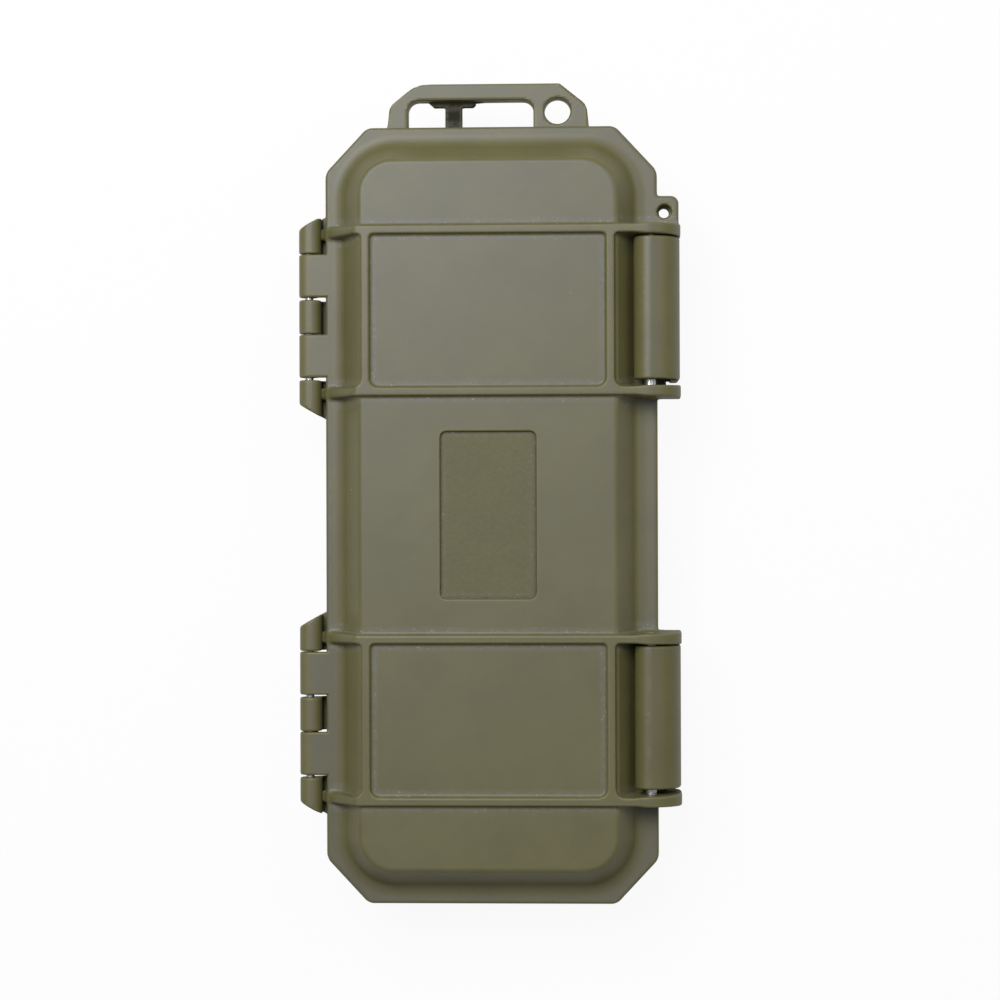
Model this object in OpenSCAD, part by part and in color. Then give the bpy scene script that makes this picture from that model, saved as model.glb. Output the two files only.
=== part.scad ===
// Waterproof hard case: two moulded shells, two pinned hinges, two snap latches, a seal and foam.
// The case lies on its base. +X is the latch side, +Y the handle end and +Z up, and the origin is
// on the resting face, under the middle of the flanges.

/* [Shells] */
// Width of the flanges, from the hinge side to the latch side
body_w = 96.6; // [86:0.1:110]
// Length of the flanges
body_l = 226; // [216:0.5:240]
// Cut of each flange corner, along the width
corner_cut_x = 12.2; // [9:0.1:14]
// Cut of each flange corner, along the length
corner_cut_y = 13.1; // [9:0.1:15]
// Thickness of each flange
flange_t = 3.75; // [3.6:0.05:4.5]
// Height of the parting plane over the resting face
base_h = 26; // [24:0.5:36]
// Height of the lid's raised panel over its flange
lid_rise = 9.55; // [8.5:0.05:13]
// Ledge from the flange's long edges in to the walls
ledge_x = 4.9; // [4.6:0.1:5.6]
// Ledge from the flange's short edges in to the walls
ledge_y = 4.4; // [4:0.1:6]
// Shift of the walls towards the hinges, which widens the ledge on the latch side
wall_shift = 0.6; // [0:0.1:0.8]
// Outer radius of the walls' corners at the flanges
corner_r = 16.2; // [15:0.1:20]
// Thickness of the walls
wall_t = 2.5; // [2.2:0.05:2.8]
// How far the lid's bevel runs in from its foot to the raised panel
lid_bevel_run = 6.3; // [5:0.1:8]
// How far the base's walls draft in from the flange to their bevel
base_draft_run = 0.5; // [0.2:0.1:1]
// How far the base's bottom bevel runs in
base_bevel_run = 5.5; // [4:0.1:7]
// Height of the base's bottom bevel
base_bevel_h = 6.5; // [5:0.1:8]

/* [Ribs] */
// Width of the lid's ribs
rib_w = 2.4; // [1.8:0.1:3]
// Height of the ribs over the raised panel
rib_rise = 1.5; // [0.8:0.1:2.5]
// Distance of the outer cross ribs from the middle
rib_outer_y = 82.15; // [80:0.05:86]
// Distance of the inner cross ribs from the middle
rib_inner_y = 35.6; // [32:0.1:38]
// Distance of the long ribs from the middle of the raised panel
rib_long_x = 35.2; // [32:0.1:36]
// Overhang of the cross ribs past the edge of the raised panel, at the ribs' top
rib_overhang = 1.4; // [0.6:0.1:2.5]
// Ledge left outside the ribs' feet
rib_foot_ledge = 0.5; // [0.2:0.1:2]
// Thickness of the ears and guards that stand beside the latches
ear_t = 3; // [2.4:0.1:3.4]

/* [Label recess] */
// Width of the bare label recess
label_w = 27.6; // [18:0.1:40]
// Length of the bare label recess
label_l = 48.2; // [30:0.1:58]
// Depth of the label recess
label_depth = 0.9; // [0.4:0.05:1.3]
// Corner radius of the label recess
label_r = 1.8; // [1:0.1:4]

/* [Bottom panels] */
// Width of the two shallow panels in the bottom
foot_panel_w = 52; // [40:1:60]
// Length of the two shallow panels in the bottom
foot_panel_l = 34; // [20:1:38]
// Depth of the two shallow panels in the bottom
foot_panel_depth = 0.8; // [0.4:0.1:1.2]
// Corner radius of the bottom panels
foot_panel_r = 4; // [2:0.5:8]

/* [Seal] */
// Width of the groove in the lid's rim
groove_w = 2.6; // [2.4:0.05:2.9]
// Depth of the groove in the lid's rim
groove_depth = 2.2; // [1.8:0.05:2.5]
// Distance of the groove's middle outside the walls' outer face
groove_out = 0.2; // [0:0.05:0.5]
// Height of the seal ring
seal_h = 1.1; // [0.8:0.05:1.4]
// Clearance beside the seal in its groove
seal_gap = 0.1; // [0.05:0.01:0.2]
// Width of the tongue on the base's rim that presses on the seal
tongue_w = 1.6; // [1:0.05:1.7]

/* [Hinges] */
// Distance of each hinge's middle from the middle of the case
hinge_y = 58; // [56:0.5:62]
// Distance of the hinge axis outside the flange
hinge_out = 5.1; // [4.6:0.1:6]
// Radius of the hinge barrels
barrel_r = 2.9; // [2.5:0.05:3.2]
// Diameter of the hinge pins
hinge_pin_d = 2.5; // [2:0.1:3]
// Width of each lid knuckle
lid_knuckle_w = 12.5; // [8:0.1:14]
// Width of each gap between base knuckles that takes a lid knuckle
knuckle_bay_w = 13.5; // [13.2:0.1:15]
// Width of the middle base knuckle
mid_knuckle_w = 9.9; // [7:0.1:12]
// Width of the outer base knuckles at their barrel
end_knuckle_w = 7.1; // [5.5:0.1:9]
// Flare of the outer base knuckles at the flange
knuckle_flare = 4.6; // [2:0.1:6]
// Play of the lid towards the handle end
lid_play = 0.25; // [0:0.05:0.35]
// Height of the gussets under the base knuckles
gusset_h = 8; // [4:0.5:11]

/* [Latches] */
// Width of each latch
latch_w = 41.2; // [36:0.1:41.8]
// Gap between a latch and the ear nearer the handle end
latch_gap = 0.5; // [0.3:0.05:0.9]
// Distance of the latch pivots inside the flange's edge
pivot_in = 2.3; // [1.8:0.1:2.8]
// Height of the latch pivots over the lid's flange
pivot_up = 5; // [4.9:0.05:6]
// Radius of the latch barrels
latch_barrel_r = 4.6; // [4:0.05:4.7]
// Diameter of the latch pins
latch_pin_d = 3.2; // [2.4:0.1:3.6]
// Distance of a latch's outer face outside its pivot
latch_reach = 8.75; // [8.5:0.05:9.5]
// Radius of the rounded crown of a latch
crown_r = 9.05; // [8.5:0.05:9.3]
// Thickness of a latch's skin
latch_skin = 2.8; // [2:0.1:3]
// Depth of the latches below the parting plane
latch_drop = 14; // [11:0.5:16]
// Thickness of a latch's inner webs
web_t = 1.8; // [1.2:0.1:2.6]
// How far the webs run down the skin below the barrel
web_drop = 1.6; // [0:0.1:3]
// Number of inner webs in a latch
web_count = 5; // [3:1:7]
// Length of the catch lip outside the base's flange
lip_out = 2.6; // [2:0.1:2.8]
// Distance of the catch lip's top below the parting plane
lip_step = 0.6; // [0.2:0.1:1.5]
// How much shorter the guards are than the latches
guard_short = 2; // [0:0.5:4]
// Depth that a latch's hook reaches under the catch lip
hook_depth = 1.2; // [0.8:0.1:1.6]
// Thickness of the hook
hook_t = 2.6; // [2:0.1:4]
// Radius of the ears' rounded outline
ear_r = 10; // [9.8:0.1:10.4]
// How far the ears stand out past the latches
ear_out = 0.25; // [0.1:0.05:0.6]

/* [Handle tab] */
// Length of the handle tab outside the flange
tab_out = 13.2; // [12.6:0.1:16]
// Thickness of the handle tab
tab_t = 6; // [5:0.1:8]
// Width of the tab where it leaves the flange
tab_root_w = 60; // [56:0.5:64]
// Width of the tab at its shoulders
tab_shoulder_w = 57.7; // [54:0.1:59]
// Width of the tab's straight outer edge
tab_top_w = 41.8; // [39:0.1:46]
// Distance of the shoulders from the flange
tab_shoulder_out = 6.8; // [5:0.1:9]
// Shift of the tab towards the hinges
tab_shift = 0.9; // [0:0.1:3]
// Length of the handle slot
slot_l = 36.8; // [30:0.1:38]
// Width of the handle slot
slot_w = 8.4; // [7.6:0.1:9]
// Distance of the handle slot's middle towards the hinges
slot_shift = 6; // [5:0.1:7]
// Corner radius of the handle slot
slot_r = 3.2; // [2:0.1:3.6]
// Diameter of the carabiner hole
carabiner_d = 7.6; // [6:0.1:7.8]
// Distance of the carabiner hole from the middle, towards the latches
carabiner_x = 19.4; // [19:0.1:20]
// Distance of the carabiner hole outside the flange
carabiner_out = 5.1; // [4.8:0.1:6]
// Width of the bar across the slot
bar_w = 5; // [3:0.1:6]
// Width of the bar's head
bar_head_w = 13; // [8:0.1:15]
// Length of the bar's head
bar_head_l = 1.5; // [1:0.1:2]
// Thickness of the bar
bar_t = 2.5; // [1.5:0.1:4]
// Distance of the bar from the middle, towards the hinges
bar_x = 11.1; // [9:0.1:13]

/* [Lock ear] */
// Distance of the lock ear's outer edge outside the flange
lock_out = 5.6; // [5:0.1:6.4]
// Length of the lock ear from the outer cross rib's middle
lock_l = 10.4; // [9.5:0.1:12]
// Corner radius of the lock ear
lock_r = 2.3; // [1:0.1:3]
// Distance of the lock hole outside the flange
lock_hole_out = 2.1; // [1.6:0.1:2.4]
// Distance of the lock hole from the outer cross rib's middle
lock_hole_y = 5.8; // [5:0.1:6.4]
// Diameter of the lock hole in the lid's ear
lock_lid_d = 4.2; // [3.4:0.1:5]
// Diameter of the lock hole in the base's ear
lock_base_d = 3; // [2:0.1:3.4]

/* [Foam] */
// Clearance between the foam and the walls
foam_gap = 0.4; // [0.3:0.05:1]
// Thickness of the floor pad
floor_pad_t = 4.5; // [3:0.1:4.8]
// Distance of the base foam's top below the parting plane
foam_low = 0.5; // [0.3:0.1:3]
// Width of the pocket in the base foam
pocket_w = 50; // [30:1:58]
// Length of the pocket in the base foam
pocket_l = 150; // [100:1:170]
// Corner radius of the pocket
pocket_r = 2; // [1:0.5:5]
// Distance of the lid foam's face above the parting plane
lid_foam_up = 1; // [0.4:0.1:3]

/* [Hidden] */
$fn = 96;
// Overlap that makes cuts and joins clean
eps = 0.05;
// Overshoot of a cut past the face that it opens, and of a root into what carries it
over = 1;
// Depth of the webs' roots inside a latch's barrel
web_tuck = 0.4;
// Depth of a hinge gusset at the flange's edge
gusset_lip = 1;
// Radial clearance of a pin in the pieces that hold it, and in those that turn on it
pin_seat = 0.02;
pin_run = 0.05;
// Distance of a pin's ends inside the faces that it ends in
pin_inset = 0.4;

flange_x = body_w / 2;
flange_y = body_l / 2;
wall_x = flange_x - ledge_x;
wall_y = flange_y - ledge_y;
z_lid_flange = base_h + flange_t;
z_base_flange = base_h - flange_t;
z_panel = z_lid_flange + lid_rise;
z_rib = z_panel + rib_rise;

// Walls stand wall_t thick square to their slope, so a bevel needs more than that across
lid_slope = lid_bevel_run / lid_rise;
lid_bevel_wall = wall_t * sqrt(1 + lid_slope * lid_slope);
lid_ceiling = z_panel - wall_t;
lid_knee = z_lid_flange - (lid_bevel_wall - wall_t) / lid_slope;
base_slope = base_bevel_run / base_bevel_h;
base_bevel_wall = wall_t * sqrt(1 + base_slope * base_slope);
base_knee = base_bevel_h + (base_bevel_wall - wall_t) / base_slope;
base_foot_in = base_draft_run + base_bevel_run;
base_floor_in = base_draft_run + (base_bevel_h - wall_t) * base_slope + base_bevel_wall;

hinge_x = -flange_x - hinge_out;
hinge_z = z_lid_flange - barrel_r;
end_knuckle_in = mid_knuckle_w / 2 + knuckle_bay_w;
end_knuckle_out = end_knuckle_in + end_knuckle_w;
lid_knuckle_y = (mid_knuckle_w + knuckle_bay_w) / 2;

pivot_x = flange_x - pivot_in;
pivot_z = z_lid_flange + pivot_up;
ear_gap_y = rib_outer_y - rib_inner_y - ear_t;
crown_x = latch_reach - crown_r;
crown_z = latch_barrel_r - crown_r;
skin_x = latch_reach - latch_skin;
latch_bottom = base_h - latch_drop - pivot_z;
lip_x = pivot_in + lip_out;
lip_low = z_base_flange - pivot_z;
// The hook's top is round about the pivot, just outside the lip's lower corner
hook_clear = 0.17;
hook_r = norm([lip_x, lip_low]) + hook_clear;
hook_x = lip_x - hook_depth;
ear_x = pivot_x + latch_reach + ear_out;
latch_tops = [rib_outer_y - ear_t / 2 - latch_gap, -rib_inner_y - ear_t / 2 - latch_gap];

// A box from its lowest and highest corners
module block(low, high) {
    translate(low) cube(high - low);
}

// A flat rectangle with rounded corners, from its half sizes
module rounded(hx, hy, r) {
    square([2 * hx, 2 * (hy - r)], center = true);
    square([2 * (hx - r), 2 * hy], center = true);
    for (x = [-1, 1], y = [-1, 1])
        translate([x * (hx - r), y * (hy - r)]) circle(r);
}

// A solid with the walls' outline, whose side runs through rings of [distance drawn in, height]
module wall_solid(rings) {
    cx = wall_x - corner_r;
    cy = wall_y - corner_r;
    translate([-wall_shift, 0, 0]) {
        for (x = [-1, 1], y = [-1, 1])
            translate([x * cx, y * cy])
                rotate_extrude() polygon(side_outline(rings, corner_r, 0));
        rotate([90, 0, 0])
            linear_extrude(2 * cy, center = true)
                polygon(side_outline(rings, wall_x, -wall_x));
        rotate([90, 0, 90])
            linear_extrude(2 * cx, center = true)
                polygon(side_outline(rings, wall_y, -wall_y));
    }
}

// Cross-section through the rings, from a straight side or axis at low_x out to the far side at x
function side_outline(rings, x, low_x) = let (last = len(rings) - 1) concat(
    [for (ring = rings) [x - ring[0], ring[1]]],
    [for (i = [last : -1 : 0]) [low_x == 0 ? 0 : low_x + rings[i][0], rings[i][1]]]
);

// The outline of both flanges
module flange_outline() {
    cx = flange_x - corner_cut_x;
    cy = flange_y - corner_cut_y;
    polygon([
        [-flange_x, -cy], [-cx, -flange_y], [cx, -flange_y], [flange_x, -cy],
        [flange_x, cy], [cx, flange_y], [-cx, flange_y], [-flange_x, cy]
    ]);
}

// An outline in the X-Z plane as a slab of a thickness, centred on y
module upright(y, t) {
    translate([0, y, 0]) rotate([90, 0, 0]) linear_extrude(t, center = true) children();
}

// A cylinder along Y between two ends
module rod(x, z, r, y0, y1) {
    translate([x, y0, z]) rotate([-90, 0, 0]) cylinder(y1 - y0, r, r);
}

// The flat ear beside the outer cross rib on the latch side
module lock_outline() {
    top = rib_outer_y + lock_l;
    out = flange_x + lock_out;
    difference() {
        translate([flange_x - over, rib_outer_y]) square([lock_out + over, lock_l]);
        translate([out - lock_r, top - lock_r]) square(lock_r + eps);
    }
    translate([out - lock_r, top - lock_r]) circle(lock_r);
}

module lock_hole(d) {
    translate([flange_x + lock_hole_out, rib_outer_y + lock_hole_y, 0])
        cylinder(z_rib, d = d);
}

// Outline of a cross rib over the lid, from the hinge side to the latch side
module lid_rib_outline() {
    foot = flange_x - rib_foot_ledge;
    top = wall_x - lid_bevel_run + rib_overhang;
    centre = ear_x - ear_r;
    polygon([
        [-foot, z_lid_flange - eps], [-wall_shift - top, z_rib],
        [centre, z_rib], [centre, z_lid_flange - eps]
    ]);
}

// Outline of the ear in which a cross rib ends on the latch side
module ear_outline() {
    centre = [ear_x - ear_r, z_rib - ear_r];
    intersection() {
        translate(centre) circle(ear_r);
        translate([centre[0] - eps, centre[1]]) square(ear_r + over);
    }
    translate([centre[0] - eps, base_h]) square([ear_r + eps, centre[1] - base_h + eps]);
}

// Outline of a buttress on the base's wall, on the hinge side
module buttress_outline() {
    top = flange_x - rib_foot_ledge;
    low = wall_x - base_draft_run + rib_rise;
    foot = wall_x - base_foot_in + rib_rise;
    inside = wall_x / 2;
    polygon([
        [-top, z_base_flange + eps], [-wall_shift - low, base_bevel_h],
        [-wall_shift - foot, 0], [-inside, 0], [-inside, z_base_flange + eps]
    ]);
}

// Outline of the guard beside a latch, which runs down into a buttress
module guard_outline() {
    low = wall_x - base_draft_run + rib_rise;
    foot = wall_x - base_foot_in + rib_rise;
    inside = wall_x / 2;
    guard_low = base_h - latch_drop + guard_short;
    polygon([
        [inside, base_h], [ear_x, base_h], [ear_x, guard_low],
        [low - wall_shift, max(base_bevel_h, guard_low - (ear_x - low))],
        [low - wall_shift, base_bevel_h], [foot - wall_shift, 0], [inside, 0]
    ]);
}

// One base knuckle: a barrel on a leaf of the flange, with a gusset down to the wall
module base_knuckle(y0, y1) {
    low = hinge_z - barrel_r;
    gusset_low = z_base_flange - gusset_h;
    rod(hinge_x, hinge_z, barrel_r, y0, y1);
    upright((y0 + y1) / 2, y1 - y0)
        polygon([
            [hinge_x, low], [hinge_x, base_h - eps], [hinge_x + barrel_r, base_h],
            [-flange_x + eps, base_h], [-wall_x, z_base_flange],
            [-wall_x, gusset_low], [-flange_x, z_base_flange - gusset_lip]
        ]);
}

// The flare cut of the two outer knuckles of a hinge, on one side of its middle
module flare_cut(side) {
    reach = hinge_out + barrel_r;
    at = end_knuckle_out;
    far = at + knuckle_flare;
    scale_out = 1 + over / reach;
    translate([0, 0, -over])
        linear_extrude(z_rib + 2 * over)
            polygon([
                [-flange_x, side * far],
                [-flange_x - reach * scale_out, side * (far - knuckle_flare * scale_out)],
                [-flange_x - reach * scale_out, side * (far + over)],
                [-flange_x, side * (far + over)]
            ]);
}

module base_hinge(y) {
    far = end_knuckle_out + knuckle_flare;
    translate([0, y, 0])
        difference() {
            union() {
                base_knuckle(-mid_knuckle_w / 2, mid_knuckle_w / 2);
                base_knuckle(end_knuckle_in, far);
                base_knuckle(-far, -end_knuckle_in);
            }
            flare_cut(1);
            flare_cut(-1);
        }
}

// Bore for a hinge pin: open at the end away from the handle, blind at the other
module hinge_bore(y, r) {
    mouth = y - end_knuckle_out - knuckle_flare - over;
    rod(hinge_x, hinge_z, r, mouth, y + end_knuckle_out - pin_inset);
}

module lid_knuckle(y) {
    y0 = y - lid_knuckle_w / 2;
    rod(hinge_x, hinge_z, barrel_r, y0, y0 + lid_knuckle_w);
    block([hinge_x, y0, hinge_z], [-flange_x + eps, y0 + lid_knuckle_w, z_lid_flange]);
}

// Outline of the handle tab from above
module tab_outline() {
    root = flange_y - over;
    polygon([
        [-tab_root_w / 2, root], [-tab_shoulder_w / 2, flange_y + tab_shoulder_out],
        [-tab_top_w / 2, flange_y + tab_out], [tab_top_w / 2, flange_y + tab_out],
        [tab_shoulder_w / 2, flange_y + tab_shoulder_out], [tab_root_w / 2, root]
    ]);
}

module slot_outline() {
    hx = slot_l / 2;
    translate([-slot_shift, flange_y]) {
        translate([-hx, 0]) square([slot_l, slot_w - slot_r]);
        translate([-hx + slot_r, 0]) square([slot_l - 2 * slot_r, slot_w]);
        for (x = [-1, 1])
            translate([x * (hx - slot_r), slot_w - slot_r]) circle(slot_r);
    }
}

module handle_tab() {
    difference() {
        translate([-tab_shift, 0, base_h - tab_t]) linear_extrude(tab_t) tab_outline();
        translate([0, 0, base_h - tab_t - over]) linear_extrude(tab_t + 2 * over) slot_outline();
        translate([carabiner_x, flange_y + carabiner_out, base_h - tab_t - over])
            cylinder(tab_t + 2 * over, d = carabiner_d);
    }
    slot_end = flange_y + slot_w;
    block(
        [-bar_x - bar_w / 2, flange_y - eps, base_h - tab_t],
        [-bar_x + bar_w / 2, slot_end + eps, base_h - tab_t + bar_t]
    );
    block(
        [-bar_x - bar_head_w / 2, slot_end - bar_head_l, base_h - tab_t],
        [-bar_x + bar_head_w / 2, slot_end + eps, base_h - tab_t + bar_t]
    );
}

// Catch lip on the base's flange, between the two guards of a latch
module catch_lip(side) {
    y_mid = side * (rib_outer_y + rib_inner_y) / 2;
    half = (ear_gap_y + eps) / 2;
    block(
        [flange_x - eps, y_mid - half, z_base_flange],
        [flange_x + lip_out, y_mid + half, base_h - lip_step]
    );
}

// The rim ring about the groove's middle line, of a width, between two heights
module rim_ring(w, low, high) {
    difference() {
        wall_solid([[-groove_out - w / 2, low], [-groove_out - w / 2, high]]);
        wall_solid([[-groove_out + w / 2, low - over], [-groove_out + w / 2, high + over]]);
    }
}

module base_shell() {
    color("#5f5c44")
    difference() {
        union() {
            translate([0, 0, z_base_flange]) linear_extrude(flange_t) flange_outline();
            wall_solid([
                [base_foot_in, 0], [base_draft_run, base_bevel_h],
                [0, z_base_flange], [0, base_h - over]
            ]);
            rim_ring(tongue_w, z_base_flange + over, base_h + groove_depth - seal_h);
            translate([0, 0, z_base_flange]) linear_extrude(flange_t) lock_outline();
            for (y = [rib_outer_y, rib_inner_y], side = [-1, 1]) {
                upright(side * y, ear_t) buttress_outline();
                upright(side * y, ear_t) guard_outline();
            }
            catch_lip(1);
            catch_lip(-1);
            base_hinge(hinge_y);
            base_hinge(-hinge_y);
            handle_tab();
        }
        wall_solid([[base_floor_in, wall_t], [wall_t, base_knee], [wall_t, base_h + groove_depth]]);
        lock_hole(lock_base_d);
        hinge_bore(hinge_y, hinge_pin_d / 2 + pin_seat);
        hinge_bore(-hinge_y, hinge_pin_d / 2 + pin_seat);
        for (side = [-1, 1])
            translate([-wall_shift, side * (rib_outer_y + rib_inner_y) / 2, -over])
                linear_extrude(over + foot_panel_depth)
                    rounded(foot_panel_w / 2, foot_panel_l / 2, foot_panel_r);
    }
}

module lid_shell() {
    color("#7d7a66")
    difference() {
        union() {
            translate([0, 0, base_h]) linear_extrude(flange_t) flange_outline();
            wall_solid([[0, base_h + over], [0, z_lid_flange], [lid_bevel_run, z_panel]]);
            translate([0, 0, base_h]) linear_extrude(flange_t) lock_outline();
            for (y = [rib_outer_y, rib_inner_y], side = [-1, 1]) {
                upright(side * y, rib_w) lid_rib_outline();
                upright(side * y, ear_t) ear_outline();
            }
            for (x = [-1, 1], y = [-1, 1])
                block(
                    [x * rib_long_x - wall_shift - rib_w / 2, min(y * rib_outer_y, y * rib_inner_y), lid_ceiling],
                    [x * rib_long_x - wall_shift + rib_w / 2, max(y * rib_outer_y, y * rib_inner_y), z_rib]
                );
            for (y = [hinge_y, -hinge_y], side = [-1, 1])
                lid_knuckle(y + side * lid_knuckle_y + lid_play);
        }
        wall_solid([
            [wall_t, base_h - over], [wall_t, lid_knee],
            [wall_t + (lid_ceiling - lid_knee) * lid_slope, lid_ceiling]
        ]);
        rim_ring(groove_w, base_h - over, base_h + groove_depth);
        lock_hole(lock_lid_d);
        for (y = [hinge_y, -hinge_y])
            hinge_bore(y, hinge_pin_d / 2 + pin_run);
        rod(pivot_x, pivot_z, latch_pin_d / 2 + pin_seat, -flange_y, flange_y);
        translate([-wall_shift, 0, z_panel - label_depth])
            linear_extrude(label_depth + over)
                rounded(label_w / 2, label_l / 2, label_r);
    }
}

module seal_ring() {
    color("#2a2a2a")
    rim_ring(groove_w - 2 * seal_gap, base_h + groove_depth - seal_h, base_h + groove_depth);
}

module hinge_pin(y) {
    color("#b8bcc0")
    rod(
        hinge_x, hinge_z, hinge_pin_d / 2,
        y - end_knuckle_out + pin_inset, y + end_knuckle_out - 2 * pin_inset
    );
}

// Outline of a latch about its pivot
module latch_outline() {
    circle(latch_barrel_r);
    translate([crown_x, crown_z])
        intersection() {
            difference() {
                circle(crown_r);
                circle(crown_r - latch_skin);
            }
            square(crown_r + over);
        }
    translate([skin_x, latch_bottom]) square([latch_skin, crown_z - latch_bottom + eps]);
    hook_outline();
}

// Outline of the hook that reaches under the catch lip
module hook_outline() {
    hook_top = -sqrt(hook_r * hook_r - skin_x * skin_x);
    difference() {
        translate([hook_x, hook_top - hook_t]) square([skin_x - hook_x + eps, hook_t + over]);
        circle(hook_r);
    }
}

// Outline of a web that stiffens the latch between its barrel and its skin
module web_outline() {
    root = latch_barrel_r - web_tuck;
    skin_mid = skin_x + latch_skin / 2;
    crown_mid = (crown_r - latch_skin / 2) * sin(45);
    polygon([
        [0, -root], [skin_mid, -latch_barrel_r - web_drop], [skin_mid, crown_z],
        [crown_x + crown_mid, crown_z + crown_mid], [0, root]
    ]);
}

// A latch, from the face that is nearer the handle end
module latch(top) {
    mid = top - latch_w / 2;
    pitch = (latch_w - web_t) / (web_count - 1);
    color("#74715c")
    difference() {
        translate([pivot_x, 0, pivot_z]) {
            upright(mid, latch_w) latch_outline();
            for (i = [0 : web_count - 1])
                upright(top - web_t / 2 - i * pitch, web_t) web_outline();
        }
        rod(pivot_x, pivot_z, latch_pin_d / 2 + pin_run, -flange_y, flange_y);
    }
}

module latch_pin(side) {
    mid = side * (rib_outer_y + rib_inner_y) / 2;
    half = (ear_gap_y + 2 * ear_t) / 2 - pin_inset;
    color("#b8bcc0")
    rod(pivot_x, pivot_z, latch_pin_d / 2, mid - half, mid + half);
}

module lid_foam() {
    side_in = wall_t + foam_gap;
    top_in = side_in + (lid_ceiling - lid_knee) * lid_slope;
    color("#3a3a3c")
    wall_solid([[side_in, base_h + lid_foam_up], [side_in, lid_knee], [top_in, lid_ceiling]]);
}

module base_foam() {
    side_in = wall_t + base_draft_run + foam_gap;
    color("#3a3a3c")
    difference() {
        wall_solid([[side_in, wall_t + floor_pad_t], [side_in, base_h - foam_low]]);
        translate([-wall_shift, 0, 0])
            linear_extrude(base_h)
                rounded(pocket_w / 2, pocket_l / 2, pocket_r);
    }
}

module floor_pad() {
    low_in = base_floor_in + foam_gap;
    color("#46464a")
    wall_solid([[low_in, wall_t], [low_in - floor_pad_t * base_slope, wall_t + floor_pad_t]]);
}

base_shell();
lid_shell();
seal_ring();
hinge_pin(hinge_y);  // front_hinge_pin
hinge_pin(-hinge_y);  // rear_hinge_pin
latch(latch_tops[0]);  // front_latch
latch(latch_tops[1]);  // rear_latch
latch_pin(1);  // front_latch_pin
latch_pin(-1);  // rear_latch_pin
lid_foam();
base_foam();
floor_pad();
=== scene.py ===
"""Waterproof hard case: moulded shells, snap latches, seal and foam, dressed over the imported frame.

Forms are written in millimetres, in the frame's own axes, and become meshes in metres. Each moulding
is a field: a function that is negative inside the plastic, with its fillets and rounded edges in it.
"""

import logging
import math
from collections.abc import Callable, Mapping, Sequence
from dataclasses import dataclass
from enum import Enum
from typing import ClassVar

import bpy
import numpy as np
from mathutils import Euler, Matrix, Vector


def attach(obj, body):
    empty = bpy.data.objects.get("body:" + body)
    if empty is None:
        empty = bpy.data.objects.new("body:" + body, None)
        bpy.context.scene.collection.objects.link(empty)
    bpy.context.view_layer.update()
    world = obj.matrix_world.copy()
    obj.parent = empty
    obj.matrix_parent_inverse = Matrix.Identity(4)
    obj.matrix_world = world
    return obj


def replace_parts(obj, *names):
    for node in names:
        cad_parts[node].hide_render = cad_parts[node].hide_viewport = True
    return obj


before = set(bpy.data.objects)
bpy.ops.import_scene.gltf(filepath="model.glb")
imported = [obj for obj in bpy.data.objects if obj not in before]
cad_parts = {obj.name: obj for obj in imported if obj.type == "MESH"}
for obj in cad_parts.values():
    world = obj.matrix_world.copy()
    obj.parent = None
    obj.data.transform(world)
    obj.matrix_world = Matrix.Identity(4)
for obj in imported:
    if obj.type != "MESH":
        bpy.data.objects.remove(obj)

Array = np.ndarray
Field = Callable[[Array, Array, Array], Array]
Zone = tuple[float, float, float]

MM = 0.001
ROOM = 0.6
# Mesh attribute of painted shade: the bar deep in the tab's slot and the label recess floor.
SUNK_SHADE = "sunk"
log = logging.getLogger("hard_case")


# Rounded joins and cuts of fields

def join(a: Array, b: Array, radius: float) -> Array:
    """Union of two forms with a fillet in the corner between them.

    Args:
        a: First field.
        b: Second field.
        radius: Radius of the fillet.

    Returns:
        The field of both together.
    """
    return np.maximum(radius, np.minimum(a, b)) - np.hypot(
        np.maximum(radius - a, 0), np.maximum(radius - b, 0))


def trim(a: Array, b: Array, radius: float) -> Array:
    """What two forms share, with a rounded edge where they meet.

    Args:
        a: First field.
        b: Second field.
        radius: Radius of the edge.

    Returns:
        The field of the shared part.
    """
    return np.minimum(-radius, np.maximum(a, b)) + np.hypot(
        np.maximum(radius + a, 0), np.maximum(radius + b, 0))


def carve(a: Array, b: Array, radius: float) -> Array:
    """The first form without the second, with the edge round the cut rounded.

    Args:
        a: Field that is cut.
        b: Field of the cut.
        radius: Radius of the edge.

    Returns:
        The field of what is left.
    """
    return trim(a, -b, radius)


def rounded_box(u: Array, v: Array, half_u: float, half_v: float, radius: float) -> Array:
    """Distance outside a rectangle about the origin with rounded corners.

    Args:
        u: First coordinate.
        v: Second coordinate.
        half_u: Half size along u.
        half_v: Half size along v.
        radius: Radius of the corners.

    Returns:
        Signed distance, negative inside.
    """
    out_u = np.abs(u) - half_u + radius
    out_v = np.abs(v) - half_v + radius
    inner = np.minimum(np.maximum(out_u, out_v), 0)
    return inner + np.hypot(np.maximum(out_u, 0), np.maximum(out_v, 0)) - radius


def faceted(u: Array, v: Array, corners: Sequence[tuple[float, float]], radius: float,
            closed: bool = True) -> Array:
    """Distance outside a convex outline with rounded corners.

    Args:
        u: First coordinate.
        v: Second coordinate.
        corners: Corners, counter-clockwise.
        radius: Radius of the corners.
        closed: Whether the last corner joins the first.

    Returns:
        Field of the outline, or of the side left of an open line.
    """
    ends = [*corners[1:], corners[0]] if closed else corners[1:]
    out = None
    for (u0, v0), (u1, v1) in zip(corners, ends):
        run = math.hypot(u1 - u0, v1 - v0)
        beyond = ((u - u0) * (v1 - v0) - (v - v0) * (u1 - u0)) / run
        out = beyond if out is None else trim(out, beyond, radius)
    return out


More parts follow.
